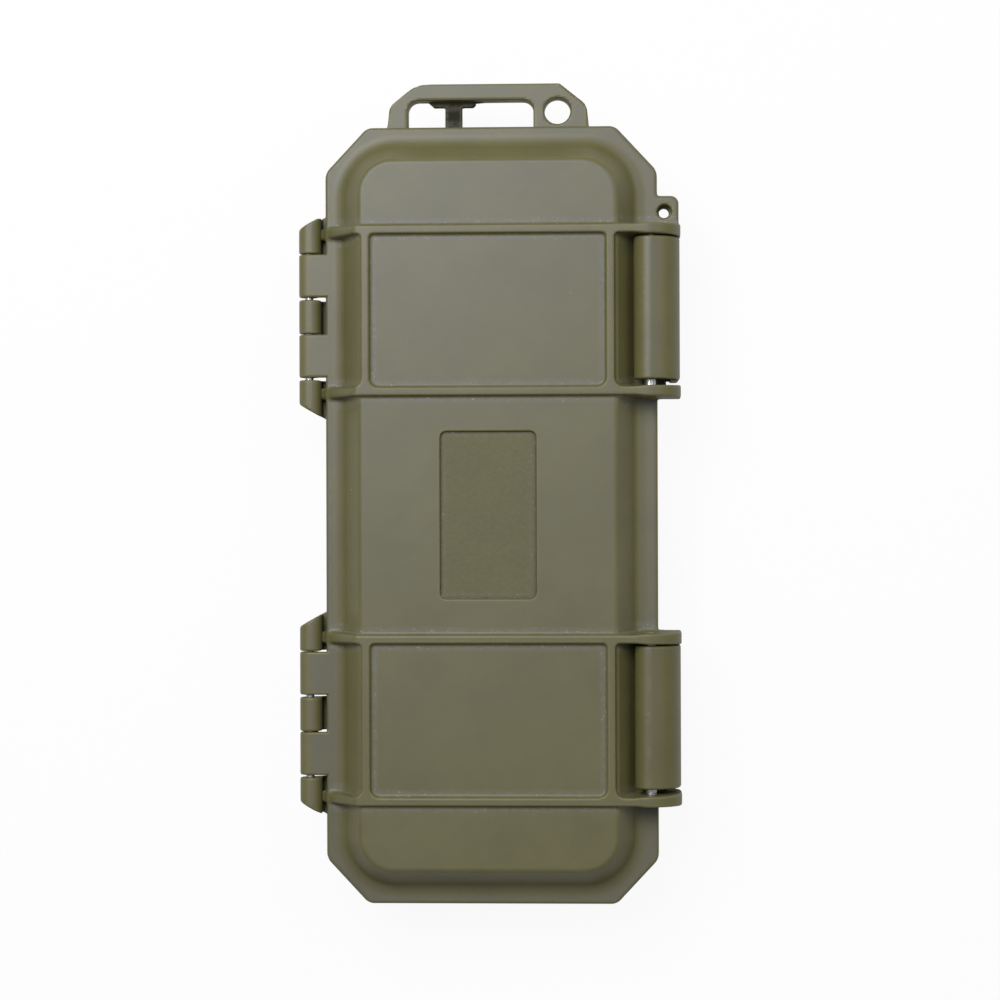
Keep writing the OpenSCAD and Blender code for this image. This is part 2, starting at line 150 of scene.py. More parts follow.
def rounded_loop(half_u: float, half_v: float, radius: float, steps: int) -> tuple[Array, Array]:
    """Points round a rectangle with round corners.

    Args:
        half_u: Half of its first size.
        half_v: Half of its second size.
        radius: Radius of its corners.
        steps: Parts of each corner's quarter turn.

    Returns:
        The points, and the outward directions there.
    """
    points, outward = [], []
    for quarter, (side_u, side_v) in enumerate(((1, 1), (-1, 1), (-1, -1), (1, -1))):
        turn = (np.arange(steps + 1) / steps + quarter) * math.pi / 2
        away = np.stack([np.cos(turn), np.sin(turn)], 1)
        points.append(away * radius + [side_u * (half_u - radius), side_v * (half_v - radius)])
        outward.append(away)
    return np.concatenate(points), np.concatenate(outward)


def ramp(t: Array) -> Array:
    """A smooth step from 0 to 1 as t goes from 0 to 1."""
    t = np.clip(t, 0, 1)
    return t * t * (3 - 2 * t)


def scatter(column: Array, row: Array) -> Array:
    """A fixed value from 0 to 1 for whole-number places, for what varies from cell to cell."""
    value = np.sin(column * 12.9898 + row * 78.233) * 43758.5453
    return value - np.floor(value)


# Meshes from fields

def grid_lines(low: float, high: float, coarse: float, zones: Sequence[Zone]) -> Array:
    """Grid lines that stand close together in the zones and widen smoothly away from them.

    Args:
        low: First line.
        high: Last line.
        coarse: Widest spacing.
        zones: Start, end and spacing of each close zone.

    Returns:
        The lines, in order.
    """
    widening = 0.6
    place = np.linspace(low, high, int((high - low) / 0.02) + 2)
    spacing = np.full_like(place, coarse)
    for start, end, step in zones:
        away = np.maximum(0, np.maximum(start - place, place - end))
        spacing = np.minimum(spacing, step + widening * away)
    steps = np.diff(place) * (1 / spacing[1:] + 1 / spacing[:-1]) / 2
    total = np.concatenate([[0], np.cumsum(steps)])
    count = math.ceil(total[-1])
    return np.interp(np.linspace(0, total[-1], count + 1), total, place)


def near(places: Sequence[float], margin: float, step: float) -> list[Zone]:
    """Close zones round each place, on both sides of the middle."""
    return [(s * p - margin, s * p + margin, step) for p in places for s in (-1, 1)]


def both(start: float, end: float, step: float) -> list[Zone]:
    """One close zone and its mirror image."""
    return [(start, end, step), (-end, -start, step)]


@dataclass(frozen=True)
class Skin:
    """Closed surface of a moulding: points in millimetres, faces of four, and normals."""

    points: Array
    faces: Array
    normals: Array
    form: Field


@dataclass(frozen=True)
class Lattice:
    """Grid on which a field becomes a skin."""

    x: Array
    y: Array
    z: Array
    probe: ClassVar[float] = 0.02
    reach: ClassVar[float] = 0.8

    def skin(self, form: Field) -> Skin:
        """Surface of a field, with one point in each cell that it crosses.

        Args:
            form: The field.

        Returns:
            Its skin, drawn onto the field.
        """
        value = form(self.x[:, None, None], self.y[None, :, None], self.z[None, None, :])
        value = np.broadcast_to(value, (self.x.size, self.y.size, self.z.size))
        cells = tuple(n - 1 for n in value.shape)
        total = np.zeros((*cells, 3))
        count = np.zeros(cells)
        crossings = [self._crossings(value, axis) for axis in range(3)]
        for axis, (crossed, spots) in enumerate(crossings):
            for near_side in ((0, 0), (0, 1), (1, 0), (1, 1)):
                window = self._window(cells, axis, near_side)
                total += spots[window] * crossed[window][..., None]
                count += crossed[window]
        held = count > 0
        number = np.full(cells, -1)
        number[held] = np.arange(int(held.sum()))
        points = total[held] / count[held][:, None]
        faces = np.concatenate([
            self._faces(value, number, axis, crossings[axis][0]) for axis in range(3)])
        points, normals = self._settle(form, points)
        return Skin(points, faces, normals, form)

    def _crossings(self, value: Array, axis: int) -> tuple[Array, Array]:
        """Where grid edges along one axis cross the surface.

        Args:
            value: The field on the grid.
            axis: 0, 1 or 2.

        Returns:
            Which edges cross, and the point of crossing of each edge.
        """
        first = np.take(value, range(value.shape[axis] - 1), axis)
        second = np.take(value, range(1, value.shape[axis]), axis)
        crossed = (first < 0) != (second < 0)
        share = np.where(crossed, first / np.where(crossed, first - second, 1), 0.5)
        lines = [self.x, self.y, self.z]
        spots = []
        for k in range(3):
            shape = [1, 1, 1]
            shape[k] = -1
            if k == axis:
                start = lines[k][:-1].reshape(shape)
                spots.append(start + share * np.diff(lines[k]).reshape(shape))
            else:
                spots.append(np.broadcast_to(lines[k].reshape(shape), first.shape))
        return crossed, np.stack(spots, -1)

    @staticmethod
    def _window(cells: tuple[int, ...], axis: int, near_side: tuple[int, int]) -> tuple:
        """Slice of the edges along one axis that lie on one corner of every cell."""
        shifts = iter(near_side)
        return tuple(
            slice(0, n) if k == axis else (lambda s, n=n: slice(s, s + n))(next(shifts))
            for k, n in enumerate(cells))

    @staticmethod
    def _faces(value: Array, number: Array, axis: int, crossed: Array) -> Array:
        """Faces across the crossed edges along one axis, facing out of the plastic.

        Args:
            value: The field on the grid.
            number: Point number of each cell.
            axis: 0, 1 or 2.
            crossed: Which edges cross.

        Returns:
            Rows of four point numbers.
        """
        at = np.argwhere(crossed)
        second, third = (axis + 1) % 3, (axis + 2) % 3
        corners = []
        for back_second, back_third in ((1, 1), (0, 1), (0, 0), (1, 0)):
            cell = at.copy()
            cell[:, second] -= back_second
            cell[:, third] -= back_third
            corners.append(number[tuple(cell.T)])
        faces = np.stack(corners, 1)
        inward = value[tuple(at.T)] >= 0
        faces[inward] = faces[inward][:, ::-1]
        return faces

    def _settle(self, form: Field, points: Array) -> tuple[Array, Array]:
        """Draws points onto the surface of a field.

        Args:
            form: The field.
            points: Points near its surface.

        Returns:
            Points on it, and the normals there.
        """
        for _ in range(3):
            slope, size = self._slope(form, points)
            step = np.clip(form(*points.T) / size, -self.reach, self.reach)
            points = points - step[:, None] * slope
        return points, self._slope(form, points)[0]

    def _slope(self, form: Field, points: Array) -> tuple[Array, Array]:
        """Unit normals of a field at points, and how steep it is there."""
        rise = []
        for k in range(3):
            offset = np.zeros(3)
            offset[k] = self.probe
            rise.append(form(*(points + offset).T) - form(*(points - offset).T))
        slope = np.stack(rise, 1) / (2 * self.probe)
        size = np.maximum(np.linalg.norm(slope, axis=1), 0.2)
        return slope / size[:, None], size


class Relief(Enum):
    """What a skin's points know of the form round them, kept as mesh attributes."""

    EDGE = ("edge", -0.9, 0.30)
    NOOK = ("nook", 0.9, 0.30)
    LEE = ("lee", 3.2, 0.30)

    def measure(self, skin: Skin) -> Array:
        """How strongly each point of a skin lies on an edge, or in a corner.

        Args:
            skin: The skin.

        Returns:
            A value from 0 to 1 for each point.
        """
        _, reach, full = self.value
        moved = skin.form(*(skin.points + reach * skin.normals).T)
        lacking = np.abs(reach) - np.abs(moved)
        return np.clip(lacking / (full * abs(reach)), 0, 1)


def mesh_of(name: str, points: Array, faces: Array, normals: Array | None = None) -> bpy.types.Object:
    """A mesh object from points in millimetres.

    Args:
        name: Name of the piece.
        points: Its points.
        faces: Rows of four point numbers.
        normals: Normals at the points, if they are known.

    Returns:
        The object, linked to the scene.
    """
    mesh = bpy.data.meshes.new(name)
    mesh.vertices.add(len(points))
    mesh.vertices.foreach_set("co", (points * MM).astype(np.float32).ravel())
    mesh.loops.add(faces.size)
    mesh.loops.foreach_set("vertex_index", faces.astype(np.int32).ravel())
    mesh.polygons.add(len(faces))
    mesh.polygons.foreach_set("loop_start", np.arange(0, faces.size, faces.shape[1], dtype=np.int32))
    mesh.update(calc_edges=True)
    mesh.validate()
    mesh.polygons.foreach_set("use_smooth", np.ones(len(mesh.polygons), bool))
    if normals is not None:
        mesh.normals_split_custom_set_from_vertices(normals.astype(np.float32))
    obj = bpy.data.objects.new(name, mesh)
    bpy.context.scene.collection.objects.link(obj)
    return obj


def moulded(name: str, skin: Skin, sunk: Field | None = None) -> bpy.types.Object:
    """An object from a skin, with what its points know of the form kept for the finish to read.

    Args:
        name: Name of the piece.
        skin: Its skin.
        sunk: How much painted shade each place gets, and how much its gloss is dulled, from 0 to 1, if any
            do.

    Returns:
        The object.
    """
    obj = mesh_of(name, skin.points, skin.faces, skin.normals)
    layers = {relief.value[0]: relief.measure(skin) for relief in Relief}
    layers[SUNK_SHADE] = np.zeros(len(skin.points)) if sunk is None else sunk(*skin.points.T)
    for key, values in layers.items():
        layer = obj.data.attributes.new(key, "FLOAT", "POINT")
        layer.data.foreach_set("value", values.astype(np.float32))
    return obj


# Shader maths

class Signal:
    """A value on a node's output, on which Python's operators add Math nodes."""

    def __init__(self, sheet: "Sheet", socket: bpy.types.NodeSocket) -> None:
        """Keeps the sheet and the socket."""
        self.sheet = sheet
        self.socket = socket

    def _math(self, operation: str, first: "Source", second: "Source") -> "Signal":
        """One Math node on two values."""
        return self.sheet.node("ShaderNodeMath", {0: first, 1: second}, operation=operation)

    def __add__(self, other: "Source") -> "Signal":
        """Sum."""
        return self._math("ADD", self, other)

    __radd__ = __add__

    def __sub__(self, other: "Source") -> "Signal":
        """Difference."""
        return self._math("SUBTRACT", self, other)

    def __rsub__(self, other: "Source") -> "Signal":
        """Difference, from a number."""
        return self._math("SUBTRACT", other, self)

    def __mul__(self, other: "Source") -> "Signal":
        """Product."""
        return self._math("MULTIPLY", self, other)

    __rmul__ = __mul__

    def __gt__(self, other: "Source") -> "Signal":
        """1 where this is greater, otherwise 0, and the reflected form of less."""
        return self._math("GREATER_THAN", self, other)

    def __lt__(self, other: "Source") -> "Signal":
        """1 where this is less, otherwise 0."""
        return self._math("LESS_THAN", self, other)

    def clamped(self) -> "Signal":
        """Kept from 0 to 1."""
        return self.sheet.node("ShaderNodeClamp", {"Value": self})

    def spread(self, low: float, high: float) -> "Signal":
        """0 at low and 1 at high, straight between them."""
        return self.sheet.node(
            "ShaderNodeMapRange", {"Value": self, "From Min": low, "From Max": high}, clamp=True)


Colour = tuple[float, float, float]
Source = Signal | float | int | Sequence[float]


class Sheet:
    """The node sheet of one material or of the world."""

    def __init__(self, tree: bpy.types.NodeTree) -> None:
        """Clears the tree."""
        self.tree = tree
        tree.nodes.clear()

    def node(self, kind: str, sockets: Mapping[str | int, Source], output: str | int = 0,
             **settings: object) -> Signal:
        """Adds one node.

        Args:
            kind: The node's type.
            sockets: Values or links of its inputs, by name or number.
            output: The output that is wanted, by name or number.
            settings: The node's own settings, which are set first.

        Returns:
            That output.
        """
        made = self.tree.nodes.new(kind)
        for name, value in settings.items():
            setattr(made, name, value)
        for name, value in sockets.items():
            target = made.inputs[name]
            if isinstance(value, Signal):
                self.tree.links.new(value.socket, target)
            elif isinstance(value, (int, float)) and not hasattr(target.default_value, "__len__"):
                target.default_value = value
            else:
                filled = len(target.default_value) - len(value)
                target.default_value = (*value, *(1.0 for _ in range(filled)))
        return Signal(self, made.outputs[output]) if made.outputs else Signal(self, None)

    def blend(self, share: Source, first: Source, second: Source) -> Signal:
        """Mixes two colours: the first at share 0 and the second at share 1."""
        return self.node("ShaderNodeMix", {0: share, 6: first, 7: second}, 2,
                         data_type="RGBA", clamp_factor=True)

    def relief(self, kind: Relief) -> Signal:
        """What the mesh knows of its edges and corners."""
        return self.known(kind.value[0])

    def known(self, name: str) -> Signal:
        """What the mesh's points know under a name."""
        return self.node("ShaderNodeAttribute", {}, "Fac", attribute_name=name)

    def along(self, way: Sequence[float]) -> Signal:
        """How far along a direction a place on the piece lies, in metres."""
        return self.node("ShaderNodeVectorMath", {0: self.place(), 1: way}, "Value",
                         operation="DOT_PRODUCT")

    def level(self) -> Signal:
        """1 where the piece's own surface faces straight up or down, 0 where it leans."""
        facing = self.node("ShaderNodeTexCoord", {}, "Normal")
        upward = self.node("ShaderNodeVectorMath", {0: facing, 1: (0, 0, 1)}, "Value",
                           operation="DOT_PRODUCT")
        return (upward * upward).spread(0.80, 0.97)

    def place(self) -> Signal:
        """Position on the piece itself, in metres."""
        return self.node("ShaderNodeTexCoord", {}, "Object")

    def noise(self, size_mm: float, detail: float = 2.0, rough: float = 0.5,
              stretch: Sequence[float] = (1, 1, 1)) -> Signal:
        """Soft noise whose blots are about this size.

        Args:
            size_mm: Size of a blot in millimetres.
            detail: Octaves.
            rough: How strong the finer octaves are.
            stretch: Scale along each axis.

        Returns:
            A value round 0.5.
        """
        at = self.node("ShaderNodeVectorMath", {0: self.place(), 1: stretch}, operation="MULTIPLY")
        return self.node("ShaderNodeTexNoise", {
            "Vector": at, "Scale": 1 / (size_mm * MM), "Detail": detail, "Roughness": rough})

    def cells(self, size_mm: float) -> Signal:
        """Distance to the nearest middle of cells of about this size."""
        return self.node("ShaderNodeTexVoronoi", {
            "Vector": self.place(), "Scale": 1 / (size_mm * MM)}, "Distance", feature="F1")

    def bump(self, height: Signal, depth_mm: float, under: Signal | None = None) -> Signal:
        """Surface relief of a real depth, over other relief if that is given."""
        sockets: dict[str | int, Source] = {
            "Height": height, "Distance": depth_mm * MM, "Strength": 1.0}
        if under is not None:
            sockets["Normal"] = under
        return self.node("ShaderNodeBump", sockets)


# Finishes

@dataclass(frozen=True)
class Finish:
    """What every finish shares: it makes one material and dresses pieces in it."""

    name: str
    slot: str

    def material(self) -> bpy.types.Material:
        """The finish as a material, made at its first use."""
        found = bpy.data.materials.get(self.name)
        if found is None:
            found = bpy.data.materials.new(self.name)
            found.use_nodes = True
            sheet = Sheet(found.node_tree)
            shader = sheet.node("ShaderNodeBsdfPrincipled", self.sockets(sheet))
            sheet.node("ShaderNodeOutputMaterial", {"Surface": shader})
        return found

    def sockets(self, sheet: Sheet) -> dict[str | int, Source]:
        """What goes into the shader's sockets."""
        raise NotImplementedError

    def dress(self, obj: bpy.types.Object) -> None:
        """Puts the finish on a piece."""
        obj.data.materials.clear()
        obj.data.materials.append(self.material())


@dataclass(frozen=True)
class MouldedPlastic(Finish):
    """Matte moulded plastic: grain, grey haze on its flats that is partly painted sheen, dust, painted shade
    in its corners and recessed places, rubbed edges.
    """

    tone: Colour = (0.124, 0.117, 0.046)
    deep_tone: Colour = (0.108, 0.101, 0.039)
    rubbed: Colour = (0.165, 0.155, 0.085)
    dust: Colour = (0.27, 0.26, 0.23)
    # Grey haze on upward flats: partly real haze, partly painted sheen that fades along the case as the
    # lamp's sheen does.
    haze_and_sheen: float = 0.33
    haze_and_sheen_tone: Colour = (0.108, 0.110, 0.136)
    haze_and_sheen_way: tuple[float, float, float] = (-0.45, 1, 0)
    haze_and_sheen_reach: tuple[float, float] = (-0.13, 0.10)
    haze_and_sheen_least: float = 0.20
    haze_and_sheen_dust: float = 1.2
    flange_reach: tuple[float, float] = (0.031, 0.034)
    # Painted shade for the bar deep in the tab's slot and for the label recess floor.
    shaded: Colour = (0.016, 0.015, 0.009)
    # Painted shade in concave corners, such as the feet of the ribs.
    corner_shade: Colour = (0.045, 0.042, 0.022)
    fleck_tone: Colour = (0.62, 0.61, 0.56)
    speck_tone: Colour = (0.50, 0.49, 0.44)
    blot_mm: float = 16
    wave_mm: float = 9
    fleck_mm: float = 6.5
    fleck_size: float = 0.028
    speck_mm: float = 1.5
    speck_size: float = 0.15
    speckled: float = 0.22
    worn: float = 0.45
    dusty: float = 0.26
    corner_shading: float = 0.6
    roughness: float = 0.40
    gloss: float = 0.40
    grain_mm: float = 0.42
    grain_depth: float = 0.016

    def _haze_and_sheen(self, sheet: Sheet, uneven: Signal, settled: Signal) -> Signal:
        """Strength of the grey haze, partly painted sheen: it lies on flats and fades along the case as the
        lamp's sheen does, but not on the flanges.

        Args:
            sheet: The material's node sheet.
            uneven: How thick it is from place to place.
            settled: Where dust has settled.

        Returns:
            The film's share.
        """
        flat = sheet.level() * (1 - sheet.relief(Relief.EDGE)) * (1 - sheet.known(SUNK_SHADE))
        faded = sheet.along(self.haze_and_sheen_way).spread(*self.haze_and_sheen_reach) * (1 - self.haze_and_sheen_least) + self.haze_and_sheen_least
        low = 1 - sheet.along((0, 0, 1)).spread(*self.flange_reach)
        thick = (faded + low * (1 - faded)) * uneven
        return flat * self.haze_and_sheen * (thick + self.haze_and_sheen_dust * settled)

    def _specked(self, sheet: Sheet, colour: Signal, settled: Signal) -> Signal:
        """A colour with pale flecks here and there, and fine specks in the settled dust.

        Args:
            sheet: The material's node sheet.
            colour: The colour.
            settled: Where dust has settled.

        Returns:
            The colour with both on it.
        """
        sparse = sheet.noise(7, 1).spread(0.58, 0.62)
        flecks = (sheet.cells(self.fleck_mm) < self.fleck_size) * sparse
        colour = sheet.blend(flecks * 0.65, colour, self.fleck_tone)
        specks = (sheet.cells(self.speck_mm) < self.speck_size) * settled
        return sheet.blend(specks * 0.5, colour, self.speck_tone)

    def sockets(self, sheet: Sheet) -> dict[str | int, Source]:
        """Tone, dust, wear and grain of the plastic.

        Args:
            sheet: The material's node sheet.

        Returns:
            The shader's sockets.
        """
        blots = sheet.noise(self.blot_mm, 3, 0.6)
        fine = sheet.noise(0.9, 3, 0.7)
        settled = sheet.relief(Relief.LEE) * sheet.noise(1.6, 4, 0.8).spread(0.30, 0.75)
        colour = sheet.blend(blots.spread(0.35, 0.68), self.tone, self.deep_tone)
        speckle = sheet.noise(0.5, 2, 0.8).spread(0.3, 0.7)
        colour = sheet.blend(speckle * self.speckled, colour, self.deep_tone)
        # Grey haze on flats, partly painted sheen that fades along the case.
        haze_and_sheen = self._haze_and_sheen(sheet, 0.70 + 0.3 * blots + 0.3 * fine, settled)
        colour = sheet.blend(haze_and_sheen, colour, self.haze_and_sheen_tone)
        # Painted shade on the bar deep in the slot and on the label recess floor.
        colour = sheet.blend(sheet.known(SUNK_SHADE), colour, self.shaded)
        edge = sheet.relief(Relief.EDGE) * fine.spread(0.25, 0.75)
        colour = sheet.blend(edge * self.worn, colour, self.rubbed)
        colour = sheet.blend(settled * self.dusty, colour, self.dust)
        # Painted shade in concave corners, broken up by fine noise.
        corner = sheet.relief(Relief.NOOK) * fine.spread(0.2, 0.6)
        colour = sheet.blend(corner * self.corner_shading, colour, self.corner_shade)
        colour = self._specked(sheet, colour, settled)
        rough = self.roughness + 0.08 * fine + 0.10 * settled + 0.6 * sheet.known(SUNK_SHADE)
        wave = sheet.bump(sheet.noise(self.wave_mm, 1), 0.02)
        grain = sheet.bump(sheet.noise(self.grain_mm, 2, 0.6), self.grain_depth, wave)
        return {"Base Color": colour, "Roughness": rough, "Normal": grain,
                "Specular IOR Level": self.gloss}


@dataclass(frozen=True)
class BrushedSteel(Finish):
    """Drawn steel pin, with faint rings round it from the drawing."""

    tone: Colour = (0.62, 0.63, 0.64)
    marked: Colour = (0.50, 0.51, 0.53)

    def sockets(self, sheet: Sheet) -> dict[str | int, Source]:
        """Draw marks in the roughness and the surface."""
        marks = sheet.noise(0.5, 3, 0.6, stretch=(4, 0.35, 4))
        tone = sheet.blend(marks.spread(0.3, 0.7), self.tone, self.marked)
        return {"Base Color": tone, "Metallic": 1.0, "Roughness": 0.22 + 0.2 * marks,
                "Normal": sheet.bump(marks, 0.004)}


@dataclass(frozen=True)
class SealRubber(Finish):
    """Black moulded rubber with a faint bloom."""

    tone: Colour = (0.020, 0.020, 0.021)
    bloomed: Colour = (0.09, 0.09, 0.095)

    def sockets(self, sheet: Sheet) -> dict[str | int, Source]:
        """Bloom in the colour and the roughness, and a fine surface."""
        bloom = sheet.noise(5, 3, 0.6)
        tone = sheet.blend(bloom.spread(0.45, 0.8) * 0.35, self.tone, self.bloomed)
        return {"Base Color": tone, "Roughness": 0.48 + 0.2 * bloom,
                "Normal": sheet.bump(sheet.noise(0.3), 0.008)}


@dataclass(frozen=True)
class OpenFoam(Finish):
    """Open-cell foam: small pores with painted shade inside them, and a soft uneven face."""

    tone: Colour = (0.040, 0.041, 0.044)
    # Painted shade deep in the pores.
    inside: Colour = (0.012, 0.012, 0.013)
    pore_mm: float = 0.75

    def sockets(self, sheet: Sheet) -> dict[str | int, Source]:
        """Pores in the colour and the surface.

        Args:
            sheet: The material's node sheet.

        Returns:
            The shader's sockets.
        """
        pores = sheet.cells(self.pore_mm).spread(0.1, 0.75)
        big = sheet.cells(self.pore_mm * 2.6).spread(0.15, 0.6)
        open_face = (pores * (0.55 + 0.45 * big)).clamped()
        # Pore middles get the painted shade, the open face its own tone.
        colour = sheet.blend(open_face, self.inside, self.tone)
        soft = sheet.bump(sheet.noise(4, 2), 0.15)
        return {"Base Color": colour, "Roughness": 0.95,
                "Normal": sheet.bump(open_face, 0.22, soft)}


SHELL_PLASTIC = MouldedPlastic("olive_shell_plastic", "shell")
LATCH_PLASTIC = MouldedPlastic(
    "olive_latch_plastic", "latch", tone=(0.120, 0.113, 0.045), deep_tone=(0.105, 0.098, 0.038),
    roughness=0.38, grain_depth=0.008)
PIN_STEEL = BrushedSteel("drawn_pin_steel", "steel")
RUBBER = SealRubber("black_seal_rubber", "seal")
FOAM = OpenFoam("charcoal_foam", "foam")


# Forms that the shells and latches share

@dataclass(frozen=True)
class CaseForm:
    """Driving sizes of the case in millimetres, the same as the frame's."""

    flange_x: float = 48.3
    flange_y: float = 113.0
    cut_x: float = 12.2
    cut_y: float = 13.1
    flange_t: float = 3.75
    parting: float = 26.0
    lid_rise: float = 9.55
    ledge_x: float = 4.9
    ledge_y: float = 4.4
    wall_shift: float = 0.6
    corner_r: float = 16.2
    wall_t: float = 2.5
    lid_bevel: float = 6.3
    lid_foot_in: float = 0.5
    lid_foot_r: float = 0.5
    lid_skirt_h: float = 0.9
    lid_skirt_l: float = 3.5
    lid_skirt_out: float = 2.4
    base_draft: float = 0.5
    base_bevel: float = 5.5
    base_bevel_h: float = 6.5
    rib_w: float = 2.4
    rib_rise: float = 1.5
    rib_outer: float = 82.15
    rib_inner: float = 35.6
    ear_t: float = 3.0
    ear_x: float = 55.0
    groove_out: float = 0.2
    groove_w: float = 2.6
    groove_depth: float = 2.2
    seal_h: float = 1.1
    tongue_w: float = 1.6
    hinge_y: float = 58.0
    hinge_out: float = 5.1
    barrel_r: float = 2.9
    hinge_bore_r: float = 1.3
    pivot_in: float = 2.3
    pivot_up: float = 5.0
    latch_pin_r: float = 1.6
    lock_out: float = 5.6
    lock_l: float = 10.4
    lock_r: float = 2.3
    lock_grow: float = 0.65
    lock_hole_out: float = 2.1
    lock_hole_y: float = 5.8
    lip_out: float = 2.6
    latch_drop: float = 14.0
    floor_pad_t: float = 4.5
    foam_gap: float = 0.4
    edge_r: float = 0.9
    parting_r: float = 0.35
    corner_soft: float = 1.1
    bore_edge_r: float = 0.1

    @property
    def wall_x(self) -> float:
        """Half width of the walls at the flanges."""
        return self.flange_x - self.ledge_x

    @property
    def wall_y(self) -> float:
        """Half length of the walls at the flanges."""
        return self.flange_y - self.ledge_y

    @property
    def lid_flange_z(self) -> float:
        """Top of the lid's flange."""
        return self.parting + self.flange_t

    @property
    def base_flange_z(self) -> float:
        """Underside of the base's flange."""
        return self.parting - self.flange_t

    @property
    def panel_z(self) -> float:
        """Top of the raised panel."""
        return self.lid_flange_z + self.lid_rise

    @property
    def rib_z(self) -> float:
        """Top of the ribs."""
        return self.panel_z + self.rib_rise

    @property
    def lid_slope(self) -> float:
        """How far the lid's bevel runs in for each millimetre up."""
        return self.lid_bevel / self.lid_rise

    @property
    def ceiling(self) -> float:
        """Inside of the lid's panel."""
        return self.panel_z - self.wall_t

    @property
    def lid_knee(self) -> float:
        """Height inside the lid where its wall turns into the bevel."""
        thick = self.wall_t * math.hypot(1, self.lid_slope)
        return self.lid_flange_z - (thick - self.wall_t) / self.lid_slope

    @property
    def base_slope(self) -> float:
        """How far the base's bevel runs in for each millimetre down."""
        return self.base_bevel / self.base_bevel_h

    @property
    def base_knee(self) -> float:
        """Height inside the base where its wall turns into the bevel."""
        thick = self.wall_t * math.hypot(1, self.base_slope)
        return self.base_bevel_h + (thick - self.wall_t) / self.base_slope

    @property
    def hinge(self) -> tuple[float, float]:
        """Hinge axis, as X and Z."""
        return -self.flange_x - self.hinge_out, self.lid_flange_z - self.barrel_r

    @property
    def pivot(self) -> tuple[float, float]:
        """Latch pivot, as X and Z."""
        return self.flange_x - self.pivot_in, self.lid_flange_z + self.pivot_up

    @property
    def latch_mid(self) -> float:
        """Middle between the two ears of a latch."""
        return (self.rib_outer + self.rib_inner) / 2

    @property
    def lock_hole(self) -> tuple[float, float]:
        """Lock hole, as X and Y."""
        return self.flange_x + self.lock_hole_out, self.rib_outer + self.lock_hole_y

    def flange_plan(self, x: Array, y: Array) -> Array:
        """Field of the flanges' outline with its cut corners."""
        side = np.abs(x) - self.flange_x
        end = np.abs(y) - self.flange_y
        run = math.hypot(self.cut_x, self.cut_y)
        cut = (side * self.cut_y + (end + self.cut_y) * self.cut_x) / run
        return trim(trim(side, cut, self.corner_soft), end, self.corner_soft)

    def wall_plan(self, x: Array, y: Array) -> Array:
        """Distance outside the walls' outline."""
        return rounded_box(x + self.wall_shift, y, self.wall_x, self.wall_y, self.corner_r)

    def lock_plan(self, x: Array, y: Array) -> Array:
        """Field of the flat ear beside the outer rib."""
        inner, low = 40.0, self.rib_outer - 0.9
        out, high = self.flange_x + self.lock_out + self.lock_grow, self.rib_outer + self.lock_l
        return rounded_box(x - (inner + out) / 2, y - (low + high) / 2,
                           (out - inner) / 2, (high - low) / 2, self.lock_r)

    def rim_plan(self, x: Array, y: Array) -> Array:
        """Field of both flanges' outline with the lock ear."""
        return join(self.flange_plan(x, y), self.lock_plan(x, y), 0.8)

    def rim_ring(self, x: Array, y: Array, width: float) -> Array:
        """Distance outside a ring of a width along the seal's middle line."""
        return np.abs(self.wall_plan(x, y) - self.groove_out) - width / 2

    def round_hole(self, x: Array, y: Array, at: tuple[float, float], radius: float) -> Array:
        """Distance outside a round hole."""
        return np.hypot(x - at[0], y - at[1]) - radius

    def plan_zones(self) -> tuple[list[Zone], list[Zone]]:
        """Close zones along X and Y that the two shells share.

        Returns:
            Zones for X and for Y.
        """
        fine, soft = 0.6, 0.84
        bevel_x, wall_x, edge_x, gap_x = 27, 42, 49, 51.5
        bevel_y, wall_y, ledge_y = 92, 107, 110
        foot_x = (36.5, 38.5)
        x = both(bevel_x, wall_x, soft) + both(wall_x, edge_x, fine) + both(*foot_x, fine)
        x += [(edge_x, self.ear_x - 2, 0.8), (self.ear_x - 1.5, self.ear_x + ROOM, 0.4),
              (self.hinge[0] - self.barrel_r - 0.5, self.hinge[0] + 1.6, 0.42), (-gap_x, -edge_x, fine)]
        y = both(bevel_y, wall_y, soft) + both(wall_y, ledge_y, fine)
        y += both(self.flange_y - 1.4, self.flange_y + ROOM, 0.45)
        y += near([self.rib_outer, self.rib_inner], 2.3, 0.46)
        return x, y


# The mouldings

